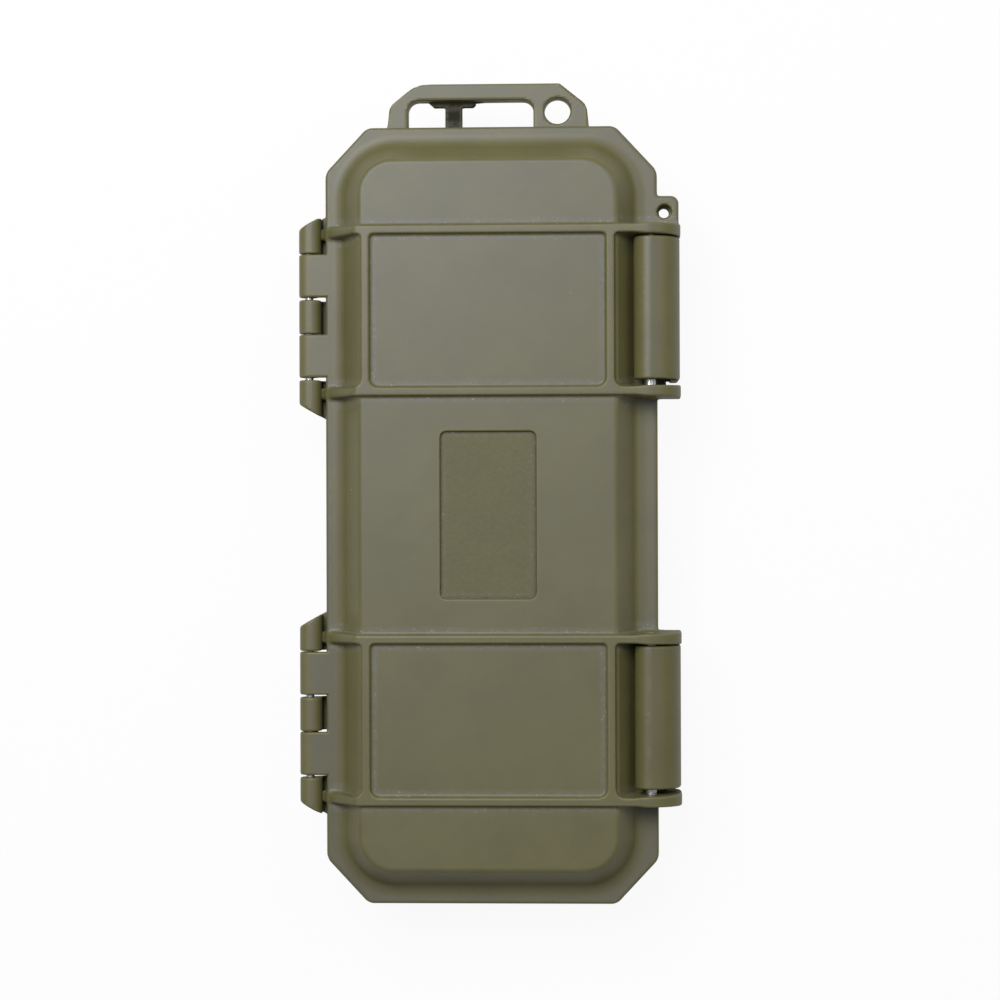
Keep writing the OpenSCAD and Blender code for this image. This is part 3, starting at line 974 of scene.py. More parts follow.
@dataclass(frozen=True)
class LidShell:
    """Moulded lid: flange, bevelled panel, ribs that end in the latches' ears, label recess, knuckles."""

    form: CaseForm
    rib_long: float = 35.2
    rib_overhang: float = 1.4
    rib_fillet: float = 1.3
    rib_flare: float = 1.3
    rib_draft: float = 0.035
    rib_root_r: float = 0.8
    foot_ledge: float = 0.5
    ear_r: float = 10.0
    ear_from: float = 41.0
    ear_run: float = 4.0
    label_w: float = 27.6
    label_l: float = 48.2
    label_depth: float = 0.9
    label_r: float = 1.8
    label_edge_r: float = 0.35
    label_shade: float = 0.28
    knuckle_w: float = 12.5
    knuckle_at: float = 11.7
    play: float = 0.25
    inside_r: float = 1.2
    lock_hole_r: float = 2.1

    def _ribs(self, x: Array, y: Array, z: Array) -> Array:
        """Field of the cross ribs, the long ribs and the ears."""
        f = self.form
        ay, ax = np.abs(y), np.abs(x + f.wall_shift)
        thick = f.rib_w + (f.ear_t - f.rib_w) * ramp((x - self.ear_from) / self.ear_run)
        cross = np.minimum(np.abs(ay - f.rib_outer), np.abs(ay - f.rib_inner)) - thick / 2
        span = (f.rib_outer - f.rib_inner) / 2
        along = np.abs(ax - self.rib_long) - f.rib_w / 2
        between = np.abs(ay - f.latch_mid) < span
        lower = ramp(0.5 - (y - np.sign(y) * f.latch_mid) / span)
        net = join(cross, along, self.rib_fillet + self.rib_flare * lower)
        net = np.where(between, net, cross) + (z - f.rib_z) * self.rib_draft
        end = trim(x - f.ear_x, z - f.rib_z, self.ear_r)
        foot = (-f.flange_x + self.foot_ledge, f.lid_flange_z)
        top = (-f.wall_shift - f.wall_x + f.lid_bevel - self.rib_overhang, f.rib_z)
        return trim(trim(net, end, 0.5), faceted(x, z, [top, foot], 0, closed=False), 1.0)

    def _knuckles(self, x: Array, y: Array, z: Array) -> Array:
        """Field of the four hinge knuckles and their leaves."""
        f = self.form
        hx, hz = f.hinge
        barrel = np.hypot(x - hx, z - hz) - f.barrel_r
        leaf = np.maximum(np.maximum(hx - x, x + f.flange_x - 1.8),
                          np.maximum(hz - z, z - f.lid_flange_z))
        about = np.abs(np.abs(y - self.play) - f.hinge_y)
        return trim(np.minimum(barrel, leaf), np.abs(about - self.knuckle_at) - self.knuckle_w / 2, 0.5)

    def field(self, x: Array, y: Array, z: Array) -> Array:
        """Field of the lid.

        Args:
            x: X in millimetres.
            y: Y in millimetres.
            z: Z in millimetres.

        Returns:
            The field, negative in the plastic.
        """
        f = self.form
        wall = f.wall_plan(x, y)
        skirt_end = 1.3
        skirt = f.lid_skirt_h * np.clip((f.lid_skirt_out - wall) / f.lid_skirt_l, 0, skirt_end) ** 2
        flange = trim(f.rim_plan(x, y), z - f.lid_flange_z - skirt, f.edge_r)
        steep = math.hypot(1, f.lid_slope)
        lean = (f.lid_bevel - f.lid_foot_in) / f.lid_rise
        side = (wall + f.lid_foot_in + (z - f.lid_flange_z) * lean) / math.hypot(1, lean)
        body = join(trim(side, z - f.panel_z, f.edge_r), flange, f.lid_foot_r)
        body = join(body, self._ribs(x, y, z), self.rib_root_r)
        label = rounded_box(x + f.wall_shift, y, self.label_w / 2, self.label_l / 2, self.label_r)
        recess = trim(label, f.panel_z - self.label_depth - z, self.label_edge_r)
        body = carve(body, recess, self.label_edge_r)
        body = trim(body, f.parting - z, f.parting_r)
        body = np.minimum(body, self._knuckles(x, y, z))
        inner = np.maximum(wall + f.wall_t, (wall + f.wall_t + (z - f.lid_knee) * f.lid_slope) / steep)
        body = carve(body, trim(inner, z - f.ceiling, self.inside_r), 0.4)
        groove = trim(f.rim_ring(x, y, f.groove_w), z - f.parting - f.groove_depth, 0.3)
        body = carve(body, groove, 0.2)
        body = carve(body, f.round_hole(x, y, f.lock_hole, self.lock_hole_r), 0.4)
        body = carve(body, f.round_hole(x, z, f.pivot, f.latch_pin_r + 0.03), 0.15)
        return carve(body, f.round_hole(x, z, f.hinge, f.hinge_bore_r), f.bore_edge_r)

    def label_floor(self, x: Array, y: Array, z: Array) -> Array:
        """Painted shade on the floor of the label recess, part of the way to the shaded tone."""
        inside = rounded_box(x + self.form.wall_shift, y, self.label_w / 2, self.label_l / 2, self.label_r)
        outside = z > self.form.ceiling
        return self.label_shade * ramp(0.5 - inside) * outside

    def lattice(self) -> Lattice:
        """The grid that suits the lid."""
        f = self.form
        x, y = f.plan_zones()
        x += near([self.label_w / 2], 1.2, 0.5) + both(self.rib_long - 2.0, self.rib_long + 2.4, 0.46)
        y += near([self.label_l / 2], 0.8, 0.5)
        knuckle_ends = [f.hinge_y + s * self.knuckle_at + t * self.knuckle_w / 2
                        for s in (-1, 1) for t in (-1, 1)]
        y += near(knuckle_ends, 0.6, 0.5) + [(f.rib_outer + 2, f.rib_outer + f.lock_l + ROOM, 0.6)]
        z = [(f.hinge[1] - 3.2, f.lid_flange_z + 2.5, 0.48),
             (f.pivot[1] - 1.75, f.pivot[1] + 1.65, 0.5), (f.ceiling - 0.4, f.rib_z + 0.4, 0.36)]
        low = f.hinge[1] - f.barrel_r - 0.5
        return Lattice(
            grid_lines(f.hinge[0] - f.barrel_r - ROOM, f.ear_x + ROOM, 3.0, x),
            grid_lines(-f.flange_y - ROOM, f.flange_y + ROOM, 3.0, y),
            grid_lines(low, f.rib_z + ROOM, 0.9, z))

    def build(self) -> bpy.types.Object:
        """Makes the lid and puts it on its body."""
        obj = moulded("lid_moulding", self.lattice().skin(self.field), self.label_floor)
        SHELL_PLASTIC.dress(obj)
        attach(obj, "lid")
        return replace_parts(obj, "lid_shell")


@dataclass(frozen=True)
class BaseShell:
    """Moulded base: tub, flange with its tongue, braces and guards, knuckles, catch lips, handle tab."""

    form: CaseForm
    lip_step: float = 0.6
    lip_root: float = 40.0
    lip_r: float = 0.3
    guard_short: float = 2.0
    mid_knuckle_w: float = 9.9
    bay_w: float = 13.5
    end_knuckle_w: float = 7.1
    flare: float = 4.6
    gusset_h: float = 8.0
    knuckle_wide: float = 0.7
    gap_in: float = 0.1
    gap_w: float = 1.5
    gap_depth: float = 2.7
    tab_out: float = 13.2
    tab_t: float = 6.0
    tab_root_w: float = 60.0
    tab_shoulder_w: float = 57.7
    tab_top_w: float = 41.8
    tab_shoulder_out: float = 6.8
    tab_shift: float = 0.9
    tab_corner_r: float = 2.0
    slot_l: float = 36.8
    slot_w: float = 8.4
    slot_shift: float = 6.0
    slot_r: float = 3.2
    ring_hole: tuple[float, float] = (19.4, 118.1)
    ring_hole_r: float = 3.8
    bar_x: float = -11.1
    bar_w: float = 5.0
    bar_head_w: float = 13.0
    bar_head_l: float = 1.5
    bar_t: float = 2.5
    foot_panel: tuple[float, float] = (52.0, 34.0)
    foot_panel_depth: float = 0.8
    foot_panel_r: float = 4.0
    foot_r: float = 1.0
    belly_r: float = 2.0
    flange_root_r: float = 1.2
    brace_root_r: float = 0.7
    leaf_root_r: float = 0.6
    tab_root_r: float = 0.9
    slot_edge_r: float = 0.5
    ring_edge_r: float = 0.6
    tongue_r: float = 0.18
    inside_r: float = 1.0
    lock_hole_r: float = 1.5

    @property
    def end_knuckle(self) -> tuple[float, float]:
        """Inner and outer face of an end knuckle, from the hinge's middle."""
        inner = self.mid_knuckle_w / 2 + self.bay_w
        return inner, inner + self.end_knuckle_w

    def _braces(self, x: Array, y: Array, z: Array) -> Array:
        """Field of the buttresses on the hinge side and the guards on the latch side."""
        f = self.form
        low = f.wall_x - f.base_draft + f.rib_rise
        foot = f.wall_x - f.base_draft - f.base_bevel + f.rib_rise
        top = f.flange_x - 0.5
        guard_low = f.parting - f.latch_drop + self.guard_short
        buttress = faceted(x, z, [
            (-top, f.base_flange_z), (-f.wall_shift - low, f.base_bevel_h),
            (-f.wall_shift - foot, 0)], 0.8, closed=False)
        buttress = np.maximum(buttress, z - f.base_flange_z - 1)
        guard = faceted(x, z, [
            (foot - f.wall_shift, 0), (low - f.wall_shift, f.base_bevel_h),
            (f.ear_x, guard_low), (f.ear_x, f.parting + 2)], 1.0, closed=False)
        ay = np.abs(y)
        slab = np.minimum(np.abs(ay - f.rib_outer), np.abs(ay - f.rib_inner)) - f.ear_t / 2
        return trim(np.where(x < 0, buttress, guard), slab, 0.5)

    def _hinge_span(self, x: Array, y: Array) -> Array:
        """Field of the knuckles' lengths, with the flare of the end ones at the flange."""
        f = self.form
        inner, outer = self.end_knuckle
        v = np.abs(np.abs(y) - f.hinge_y)
        reach = f.hinge_out + f.barrel_r
        far = outer + self.flare
        run = math.hypot(reach, self.flare)
        slant = (-(x + f.flange_x) * self.flare + (v - far) * reach) / run
        end = np.maximum(inner - v, np.maximum(slant, v - far))
        return np.minimum(v - self.mid_knuckle_w / 2, end)

    def _leaves(self, x: Array, y: Array, z: Array) -> Array:
        """Field of the knuckles' leaves and gussets, open at the top."""
        f = self.form
        hx, hz = f.hinge
        step = f.base_flange_z - 1
        leaf = faceted(x, z, [(hx, f.parting + 5), (hx, hz - f.barrel_r), (-f.flange_x, step),
                              (-f.wall_x, step), (-f.wall_x, f.parting + 5)], 0)
        gusset = faceted(x, z, [(-f.flange_x, step), (-f.wall_x, f.base_flange_z - self.gusset_h),
                                (-f.wall_x + 1, f.base_flange_z + 1)], 0)
        return trim(np.minimum(leaf, gusset), self._hinge_span(x, y), 0.5)

    def _tab(self, x: Array, y: Array, z: Array) -> Array:
        """Field of the handle tab, open at the top and without its holes."""
        f = self.form
        root, shoulder, top = self.tab_root_w / 2, self.tab_shoulder_w / 2, self.tab_top_w / 2
        u = x + self.tab_shift
        y_shoulder, y_top = f.flange_y + self.tab_shoulder_out, f.flange_y + self.tab_out
        y_root, soft = f.flange_y - 4, f.corner_soft
        ends = [(-root, y_root), (root, y_root), (shoulder, y_shoulder), (top, y_top)]
        left = faceted(u, y, [(-top, y_top), (-shoulder, y_shoulder), (-root, y_root)], soft,
                       closed=False)
        plan = trim(faceted(u, y, ends, soft, closed=False), left, soft)
        plan = trim(plan, trim(y - y_top, left, self.tab_corner_r), 0)
        return trim(plan, f.parting - self.tab_t - z, f.edge_r)

    def _slot(self, x: Array, y: Array) -> Array:
        """Field of the slot in the tab."""
        f = self.form
        half = 8.0
        box = rounded_box(x + self.slot_shift, y - f.flange_y - self.slot_w + half,
                          self.slot_l / 2, half, self.slot_r)
        return np.maximum(box, f.flange_y - y)

    def _bar(self, x: Array, y: Array, z: Array) -> Array:
        """Field of the T-shaped bar across the slot."""
        f = self.form
        end = f.flange_y + self.slot_w
        sunk_in = 0.3
        stem = np.maximum(np.abs(x - self.bar_x) - self.bar_w / 2,
                          np.abs(y - (f.flange_y + end) / 2) - self.slot_w / 2 - 2 * sunk_in)
        head = np.maximum(np.abs(x - self.bar_x) - self.bar_head_w / 2,
                          np.abs(y - end + self.bar_head_l / 2 - sunk_in) - self.bar_head_l / 2 - sunk_in)
        low = f.parting - self.tab_t
        return trim(join(stem, head, 0.4), np.abs(z - low - self.bar_t / 2) - self.bar_t / 2, 0.3)

    def _bores(self, x: Array, y: Array, z: Array) -> Array:
        """Field of the hinge bores, blind at the handle end."""
        f = self.form
        t = y - np.sign(y) * f.hinge_y
        outer = self.end_knuckle[1]
        length = np.maximum(t - outer + 0.4, -outer - self.flare - 1 - t)
        return np.maximum(f.round_hole(x, z, f.hinge, f.hinge_bore_r), length)

    def field(self, x: Array, y: Array, z: Array) -> Array:
        """Field of the base.

        Args:
            x: X in millimetres.
            y: Y in millimetres.
            z: Z in millimetres.

        Returns:
            The field, negative in the plastic.
        """
        f = self.form
        wall = f.wall_plan(x, y)
        ay = np.abs(y)
        height = f.base_flange_z - f.base_bevel_h
        steep = math.hypot(1, f.base_slope)
        draft = wall + f.base_draft * (f.base_flange_z - z) / height
        bevel = (wall + f.base_draft + (f.base_bevel_h - z) * f.base_slope) / steep
        slab = trim(f.rim_plan(x, y), f.base_flange_z - z, f.edge_r)
        body = join(trim(draft, bevel, self.belly_r), slab, self.flange_root_r)
        body = join(body, self._braces(x, y, z), self.brace_root_r)
        body = join(body, self._leaves(x, y, z), self.leaf_root_r)
        gap_mid = -f.flange_x - self.gap_in - self.gap_w / 2
        gap = rounded_box(x - gap_mid, z - f.parting, self.gap_w / 2, self.gap_depth, 0.4)
        body = carve(body, np.maximum(gap, self._hinge_span(x, y)), 0.15)
        body = join(body, self._tab(x, y, z), self.tab_root_r)
        body = trim(trim(body, -z, self.foot_r), z - f.parting, f.parting_r)
        lip = trim(x - f.flange_x - f.lip_out,
                   np.abs(z - (f.base_flange_z + f.parting - self.lip_step) / 2)
                   - (f.flange_t - self.lip_step) / 2, self.lip_r)
        span = (f.rib_outer - f.rib_inner) / 2
        lip = np.maximum(np.maximum(lip, np.abs(ay - f.latch_mid) - span), self.lip_root - x)
        body = np.minimum(body, lip)
        hx, hz = f.hinge
        barrel = np.hypot(x - hx - self.knuckle_wide * ramp((x - hx) / self.knuckle_wide),
                          z - hz) - f.barrel_r
        body = np.minimum(body, trim(barrel, self._hinge_span(x, y), 0.5))
        tongue_top = f.parting + f.groove_depth - f.seal_h
        tongue = trim(f.rim_ring(x, y, f.tongue_w), z - tongue_top, self.tongue_r)
        body = np.minimum(body, np.maximum(tongue, f.base_flange_z + 1 - z))
        inner = np.maximum(
            wall + f.wall_t, (wall + f.wall_t + (f.base_knee - z) * f.base_slope) / steep)
        body = carve(body, trim(inner, f.wall_t - z, self.inside_r), 0.3)
        body = carve(body, self._slot(x, y), self.slot_edge_r)
        body = carve(body, f.round_hole(x, y, self.ring_hole, self.ring_hole_r), self.ring_edge_r)
        body = np.minimum(body, self._bar(x, y, z))
        panel = rounded_box(x + f.wall_shift, ay - f.latch_mid,
                            self.foot_panel[0] / 2, self.foot_panel[1] / 2, self.foot_panel_r)
        body = carve(body, trim(panel, z - self.foot_panel_depth, 0.3), 0.3)
        body = carve(body, f.round_hole(x, y, f.lock_hole, self.lock_hole_r), 0.3)
        return carve(body, self._bores(x, y, z), f.bore_edge_r)

    def shaded_bar(self, x: Array, y: Array, z: Array) -> Array:
        """1 on the bar in the slot, which gets painted shade where it lies deep in the slot."""
        low = self.form.parting - self.tab_t
        on_bar = (self._slot(x, y) < -0.05) | (np.abs(self._bar(x, y, z)) < 0.05)
        return (on_bar & (z < low + self.bar_t + 0.1)).astype(float)

    def lattice(self) -> Lattice:
        """The grid that suits the base."""
        f = self.form
        x, y = f.plan_zones()
        for middle, half, step in (
                (-self.slot_shift - self.slot_l / 2 + 1, 1.6, 0.8),
                (-self.slot_shift + self.slot_l / 2 - 1, 1.6, 0.8),
                (-self.tab_shift - self.tab_shoulder_w / 2, 1.2, 0.8),
                (self.ring_hole[0], 4.2, 0.8), (self.bar_x, self.bar_w / 2 + 0.5, 0.7)):
            x.append((middle - half, middle + half, step))
        x += near([self.foot_panel[0] / 2], 0.6, 0.6)
        y += [(f.flange_y - 0.5, f.flange_y + self.tab_out + ROOM, 0.6),
              (f.rib_outer + 2, f.rib_outer + f.lock_l + ROOM, 0.7)]
        inner, outer = self.end_knuckle
        ends = [f.hinge_y + s * e for s in (-1, 1) for e in (self.mid_knuckle_w / 2, inner)]
        panel_ends = [f.latch_mid + s * self.foot_panel[1] / 2 for s in (-1, 1)]
        y += near(ends, 0.5, 0.5) + near(panel_ends, 0.5, 0.6)
        y += near([f.hinge_y + s * (outer + self.flare / 2) for s in (-1, 1)], self.flare / 2, 0.9)
        z = [(-0.4, f.wall_t + 0.3, 0.6), (f.base_bevel_h - 1, f.base_bevel_h + 1, 1.0),
             (f.parting - self.tab_t - 0.3, f.parting + 1.5, 0.52),
             (f.parting + 2.0, f.lid_flange_z + 0.5, 0.46)]
        return Lattice(
            grid_lines(f.hinge[0] - f.barrel_r - ROOM, f.ear_x + ROOM, 5.0, x),
            grid_lines(-f.flange_y - ROOM, f.flange_y + self.tab_out + ROOM, 5.0, y),
            grid_lines(-ROOM, f.lid_flange_z + ROOM, 2.2, z))

    def build(self) -> bpy.types.Object:
        """Makes the base and puts it on its body."""
        obj = moulded("base_moulding", self.lattice().skin(self.field), self.shaded_bar)
        SHELL_PLASTIC.dress(obj)
        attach(obj, "base")
        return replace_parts(obj, "base_shell")


class LatchSide(Enum):
    """The two latches, as the node that each stands for."""

    FRONT = "front_latch"
    REAR = "rear_latch"


@dataclass(frozen=True)
class SnapLatch:
    """One-piece snap latch: barrel on its pin, rounded crown, skin with a hook behind it, and webs."""

    form: CaseForm
    side: LatchSide
    width: float = 41.2
    gap: float = 0.5
    barrel_r: float = 4.6
    reach: float = 8.75
    crown_r: float = 9.05
    skin: float = 2.8
    web_t: float = 1.8
    web_drop: float = 1.6
    webs: int = 5
    hook_depth: float = 1.2
    hook_t: float = 2.6
    hook_clear: float = 0.17

    @property
    def top(self) -> float:
        """The latch's face nearer the handle end."""
        f = self.form
        ear = f.rib_outer if self.side is LatchSide.FRONT else -f.rib_inner
        return ear - f.ear_t / 2 - self.gap

    @property
    def low(self) -> float:
        """Lower edge of the latch."""
        return self.form.parting - self.form.latch_drop

    def _outline(self, u: Array, w: Array) -> Array:
        """Field of the latch's outline about its pivot, the same over its whole width."""
        f = self.form
        crown_u, crown_w = self.reach - self.crown_r, self.barrel_r - self.crown_r
        a, b = u - crown_u, w - crown_w
        bent = np.where(b > 0, np.hypot(np.maximum(a, 0), b), a)
        barrel = np.hypot(u, w) - self.barrel_r
        outer = np.maximum(bent - self.crown_r, -a)
        outer = trim(outer, self.low - f.pivot[1] - w, 1.3)
        hollow = trim(bent - self.crown_r + self.skin, -barrel, 0.8)
        shell = np.maximum(outer, -hollow)
        return np.minimum(np.minimum(shell, barrel), self._hook(u, w))

    def _hook(self, u: Array, w: Array) -> Array:
        """Field of the hook that reaches under the base's catch lip."""
        f = self.form
        lip_u = f.pivot_in + f.lip_out
        lip_w = f.base_flange_z - f.pivot[1]
        radius = math.hypot(lip_u, lip_w) + self.hook_clear
        skin_u = self.reach - self.skin
        top = -math.sqrt(radius * radius - skin_u * skin_u)
        bar = trim(lip_u - self.hook_depth - u, top - self.hook_t - w, 0.5)
        bar = np.maximum(bar, np.maximum(u - skin_u - 0.8, w - top - 1))
        return trim(bar, radius - np.hypot(u, w), 0.25)

    def _webs(self, u: Array, v: Array, w: Array) -> Array:
        """Field of the webs between barrel and skin."""
        mid = self.crown_r - self.skin / 2
        crown_u, crown_w = self.reach - self.crown_r, self.barrel_r - self.crown_r
        skin_mid = self.reach - self.skin / 2
        bend = mid * math.sin(math.radians(45))
        root = self.barrel_r - 0.4
        outline = faceted(u, w, [
            (0, -root), (skin_mid, -self.barrel_r - self.web_drop), (skin_mid, crown_w),
            (crown_u + bend, crown_w + bend), (0, root)], 0)
        pitch = (self.width - self.web_t) / (self.webs - 1)
        place = (self.top - self.web_t / 2 - v) / pitch
        nearest = np.clip(np.round(place), 0, self.webs - 1)
        thick = np.abs(place - nearest) * pitch - self.web_t / 2
        return trim(outline, thick, 0.2)

    def field(self, x: Array, y: Array, z: Array) -> Array:
        """Field of the latch.

        Args:
            x: X in millimetres.
            y: Y in millimetres.
            z: Z in millimetres.

        Returns:
            The field, negative in the plastic.
        """
        f = self.form
        u, w = x - f.pivot[0], z - f.pivot[1]
        across = np.abs(y - self.top + self.width / 2) - self.width / 2
        body = trim(self._outline(u, w), across, 0.7)
        body = np.minimum(body, np.maximum(self._webs(u, y, w), across + 0.3))
        return carve(body, np.hypot(u, w) - f.latch_pin_r - 0.06, 0.15)

    def lattice(self) -> Lattice:
        """The grid that suits a latch."""
        px, pz = self.form.pivot
        pitch = (self.width - self.web_t) / (self.webs - 1)
        fine, half = 0.36, self.web_t / 2 + 0.5
        middles = [self.top - self.web_t / 2 - i * pitch for i in range(self.webs)]
        y = [(middle - half, middle + half, fine) for middle in middles]
        return Lattice(
            np.arange(px - self.barrel_r - ROOM, px + self.reach + 0.8, fine),
            grid_lines(self.top - self.width - ROOM, self.top + ROOM, 1.6, y),
            np.arange(self.low - ROOM, pz + self.barrel_r + 0.8, 0.38))

    def build(self) -> bpy.types.Object:
        """Makes the latch and puts it on its body."""
        node = self.side.value
        obj = moulded(f"{node}_moulding", self.lattice().skin(self.field))
        LATCH_PLASTIC.dress(obj)
        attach(obj, node)
        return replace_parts(obj, node)


@dataclass(frozen=True)
class SealRing:
    """Rubber ring in the lid's groove, with rounded corners to its section."""

    form: CaseForm
    gap: float = 0.1
    corner_steps: int = 22
    section_steps: int = 5
    section_r: float = 0.4

    def build(self) -> bpy.types.Object:
        """Sweeps the section round the groove and puts the ring on the lid."""
        f = self.form
        grow = f.groove_out
        line, outward = rounded_loop(f.wall_x + grow, f.wall_y + grow, f.corner_r + grow, self.corner_steps)
        line = line - [f.wall_shift, 0]
        half_w, half_h = f.groove_w / 2 - self.gap, f.seal_h / 2
        section, _ = rounded_loop(half_w, half_h, self.section_r, self.section_steps)
        u, w = section.T
        middle_z = f.parting + f.groove_depth - half_h
        flat = line[:, None, :] + outward[:, None, :] * u[None, :, None]
        height = np.broadcast_to(w[None, :, None] + middle_z, (*flat.shape[:2], 1))
        points = np.concatenate([flat, height], 2).reshape(-1, 3)
        rows, across = len(line), len(u)
        i, j = np.meshgrid(np.arange(rows), np.arange(across), indexing="ij")
        after_i, after_j = (i + 1) % rows, (j + 1) % across
        faces = np.stack([i * across + j, after_i * across + j,
                          after_i * across + after_j, i * across + after_j], -1).reshape(-1, 4)
        obj = mesh_of("seal_rubber", points, faces)
        RUBBER.dress(obj)
        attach(obj, "lid")
        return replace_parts(obj, "seal_ring")


class Padding(Enum):
    """The foam pieces: the node that each stands for, its body and how full it is."""

    LID = ("lid_foam", "lid", 0.9)
    BASE = ("base_foam", "base", 0.9)
    FLOOR = ("floor_pad", "base", 0.95)


@dataclass(frozen=True)
class FoamLining:
    """Foam of the case: egg-crate pad in the lid, scored block with its pocket, and the floor sheet."""

    form: CaseForm
    lid_up: float = 1.0
    crate_depth: float = 4.2
    crate_pitch: float = 17.0
    crate_rim: float = 2.0
    crate_fade: float = 4.0
    base_low: float = 0.5
    cube: float = 10.0
    score_w: float = 0.55
    score_depth: float = 1.6
    uneven: float = 0.35
    edge_r: float = 0.9
    pocket: tuple[float, float] = (50.0, 150.0)
    pocket_r: float = 2.0

    def lid_pad(self, x: Array, y: Array, z: Array) -> Array:
        """Field of the lid's pad, with egg-crate hollows in its face."""
        f = self.form
        inset = f.wall_t + f.foam_gap
        wall = f.wall_plan(x, y) + inset
        steep = math.hypot(1, f.lid_slope)
        side = np.maximum(wall, (wall + (z - f.lid_knee) * f.lid_slope) / steep)
        turn = 2 * math.pi / self.crate_pitch
        wave = (2 - np.cos(turn * (x + f.wall_shift)) - np.cos(turn * y)) / 4
        fade = ramp((-wall - self.crate_rim) / self.crate_fade)
        face = f.parting + self.lid_up + self.crate_depth * wave * fade
        return trim(trim(side, z - f.ceiling, 1.0), (face - z) * 0.8, 1.0)

    def block(self, x: Array, y: Array, z: Array) -> Array:
        """Field of the scored block, whose plucked cubes leave the pocket."""
        f = self.form
        side = f.wall_plan(x, y) + f.wall_t + f.base_draft + f.foam_gap
        u = (x + f.wall_shift) / self.cube + 0.5
        v = y / self.cube + 0.5
        cell_u, cell_v = np.floor(u), np.floor(v)
        sink = self.uneven * scatter(cell_u, cell_v)
        top = z - f.parting + self.base_low + sink
        low = f.wall_t + f.floor_pad_t - z
        body = trim(trim(side, top, self.edge_r), low, self.edge_r)
        line = self.cube * np.minimum(np.abs(u - np.round(u)), np.abs(v - np.round(v)))
        slit = trim(line - self.score_w / 2, f.parting - self.base_low - self.score_depth - z, 0.1)
        hole = rounded_box(x + f.wall_shift, y, self.pocket[0] / 2, self.pocket[1] / 2, self.pocket_r)
        return carve(carve(body, slit, 0.25), hole, 0.5)

    def sheet(self, x: Array, y: Array, z: Array) -> Array:
        """Field of the floor sheet under the block."""
        f = self.form
        steep = math.hypot(1, f.base_slope)
        inset = f.wall_t + f.foam_gap
        side = (f.wall_plan(x, y) + inset + (f.base_knee - z) * f.base_slope) / steep
        body = trim(side, z - f.wall_t - f.floor_pad_t, 0.8)
        return trim(body, f.wall_t - z, 0.8)

    def _lattice(self, piece: Padding) -> Lattice:
        """The grid that suits one piece of foam."""
        f = self.form
        reach_x, reach_y = f.wall_x - f.wall_t + ROOM, f.wall_y - f.wall_t + ROOM
        corner_x, corner_y = 26, 90
        x = both(corner_x, reach_x, 0.8)
        y = both(corner_y, reach_y, 0.8)
        if piece is Padding.BASE:
            columns, rows, half = range(-5, 5), range(-11, 11), 0.8
            cuts_x = [(k + 0.5) * self.cube - f.wall_shift for k in columns]
            cuts_y = [(k + 0.5) * self.cube for k in rows]
            x += [(cut - half, cut + half, 0.4) for cut in cuts_x]
            y += [(cut - half, cut + half, 0.4) for cut in cuts_y]
        coarse, z_low, z_high, z_step = {
            Padding.LID: (1.5, f.parting + self.lid_up, f.ceiling, 0.7),
            Padding.BASE: (3.0, f.wall_t + f.floor_pad_t, f.parting - self.base_low, 1.8),
            Padding.FLOOR: (3.0, f.wall_t, f.wall_t + f.floor_pad_t, 0.6)}[piece]
        z = [(z_high - 2.2, z_high + 0.5, 0.4), (z_low - 0.3, z_low + 1.2, 0.36)]
        return Lattice(grid_lines(-f.wall_shift - reach_x, -f.wall_shift + reach_x, coarse, x),
                       grid_lines(-reach_y, reach_y, coarse, y),
                       grid_lines(z_low - 0.7, z_high + 0.7, z_step, z))

    def build(self, piece: Padding) -> bpy.types.Object:
        """Makes one piece of foam.

        Args:
            piece: Which piece.

        Returns:
            The object, on its body.
        """
        node, body, fill = piece.value
        form = {Padding.LID: self.lid_pad, Padding.BASE: self.block, Padding.FLOOR: self.sheet}[piece]
        skin = self._lattice(piece).skin(form)
        obj = moulded(f"{node}_piece", skin)
        FOAM.dress(obj)
        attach(obj, body)
        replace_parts(obj, node)
        return obj


@dataclass(frozen=True)
class SteelPins:
    """The four steel pins, which keep their frame's own shape."""

    nodes: tuple[str, ...] = ("front_hinge_pin", "rear_hinge_pin", "front_latch_pin", "rear_latch_pin")

    def dress(self) -> list[bpy.types.Object]:
        """Dresses the pins in drawn steel."""
        pins = [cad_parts[name] for name in self.nodes]
        for pin in pins:
            PIN_STEEL.dress(pin)
        return pins


# Studio and camera

@dataclass(frozen=True)
class Lamp:
    """A soft rectangular lamp that faces a point."""

    name: str
    place: tuple[float, float, float]
    size: tuple[float, float]
    power: float
    aim: tuple[float, float, float] = (0.0, 0.0, 0.03)
    tint: Colour = (1.0, 1.0, 1.0)

    def hang(self) -> None:
        """Puts the lamp in the scene."""
        data = bpy.data.lights.new(self.name, "AREA")
        data.shape = "RECTANGLE"
        data.size, data.size_y = self.size
        data.energy = self.power
        data.color = self.tint
        obj = bpy.data.objects.new(self.name, data)
        obj.location = self.place
        obj.rotation_euler = (Vector(self.place) - Vector(self.aim)).to_track_quat("Z", "Y").to_euler()
        bpy.context.scene.collection.objects.link(obj)


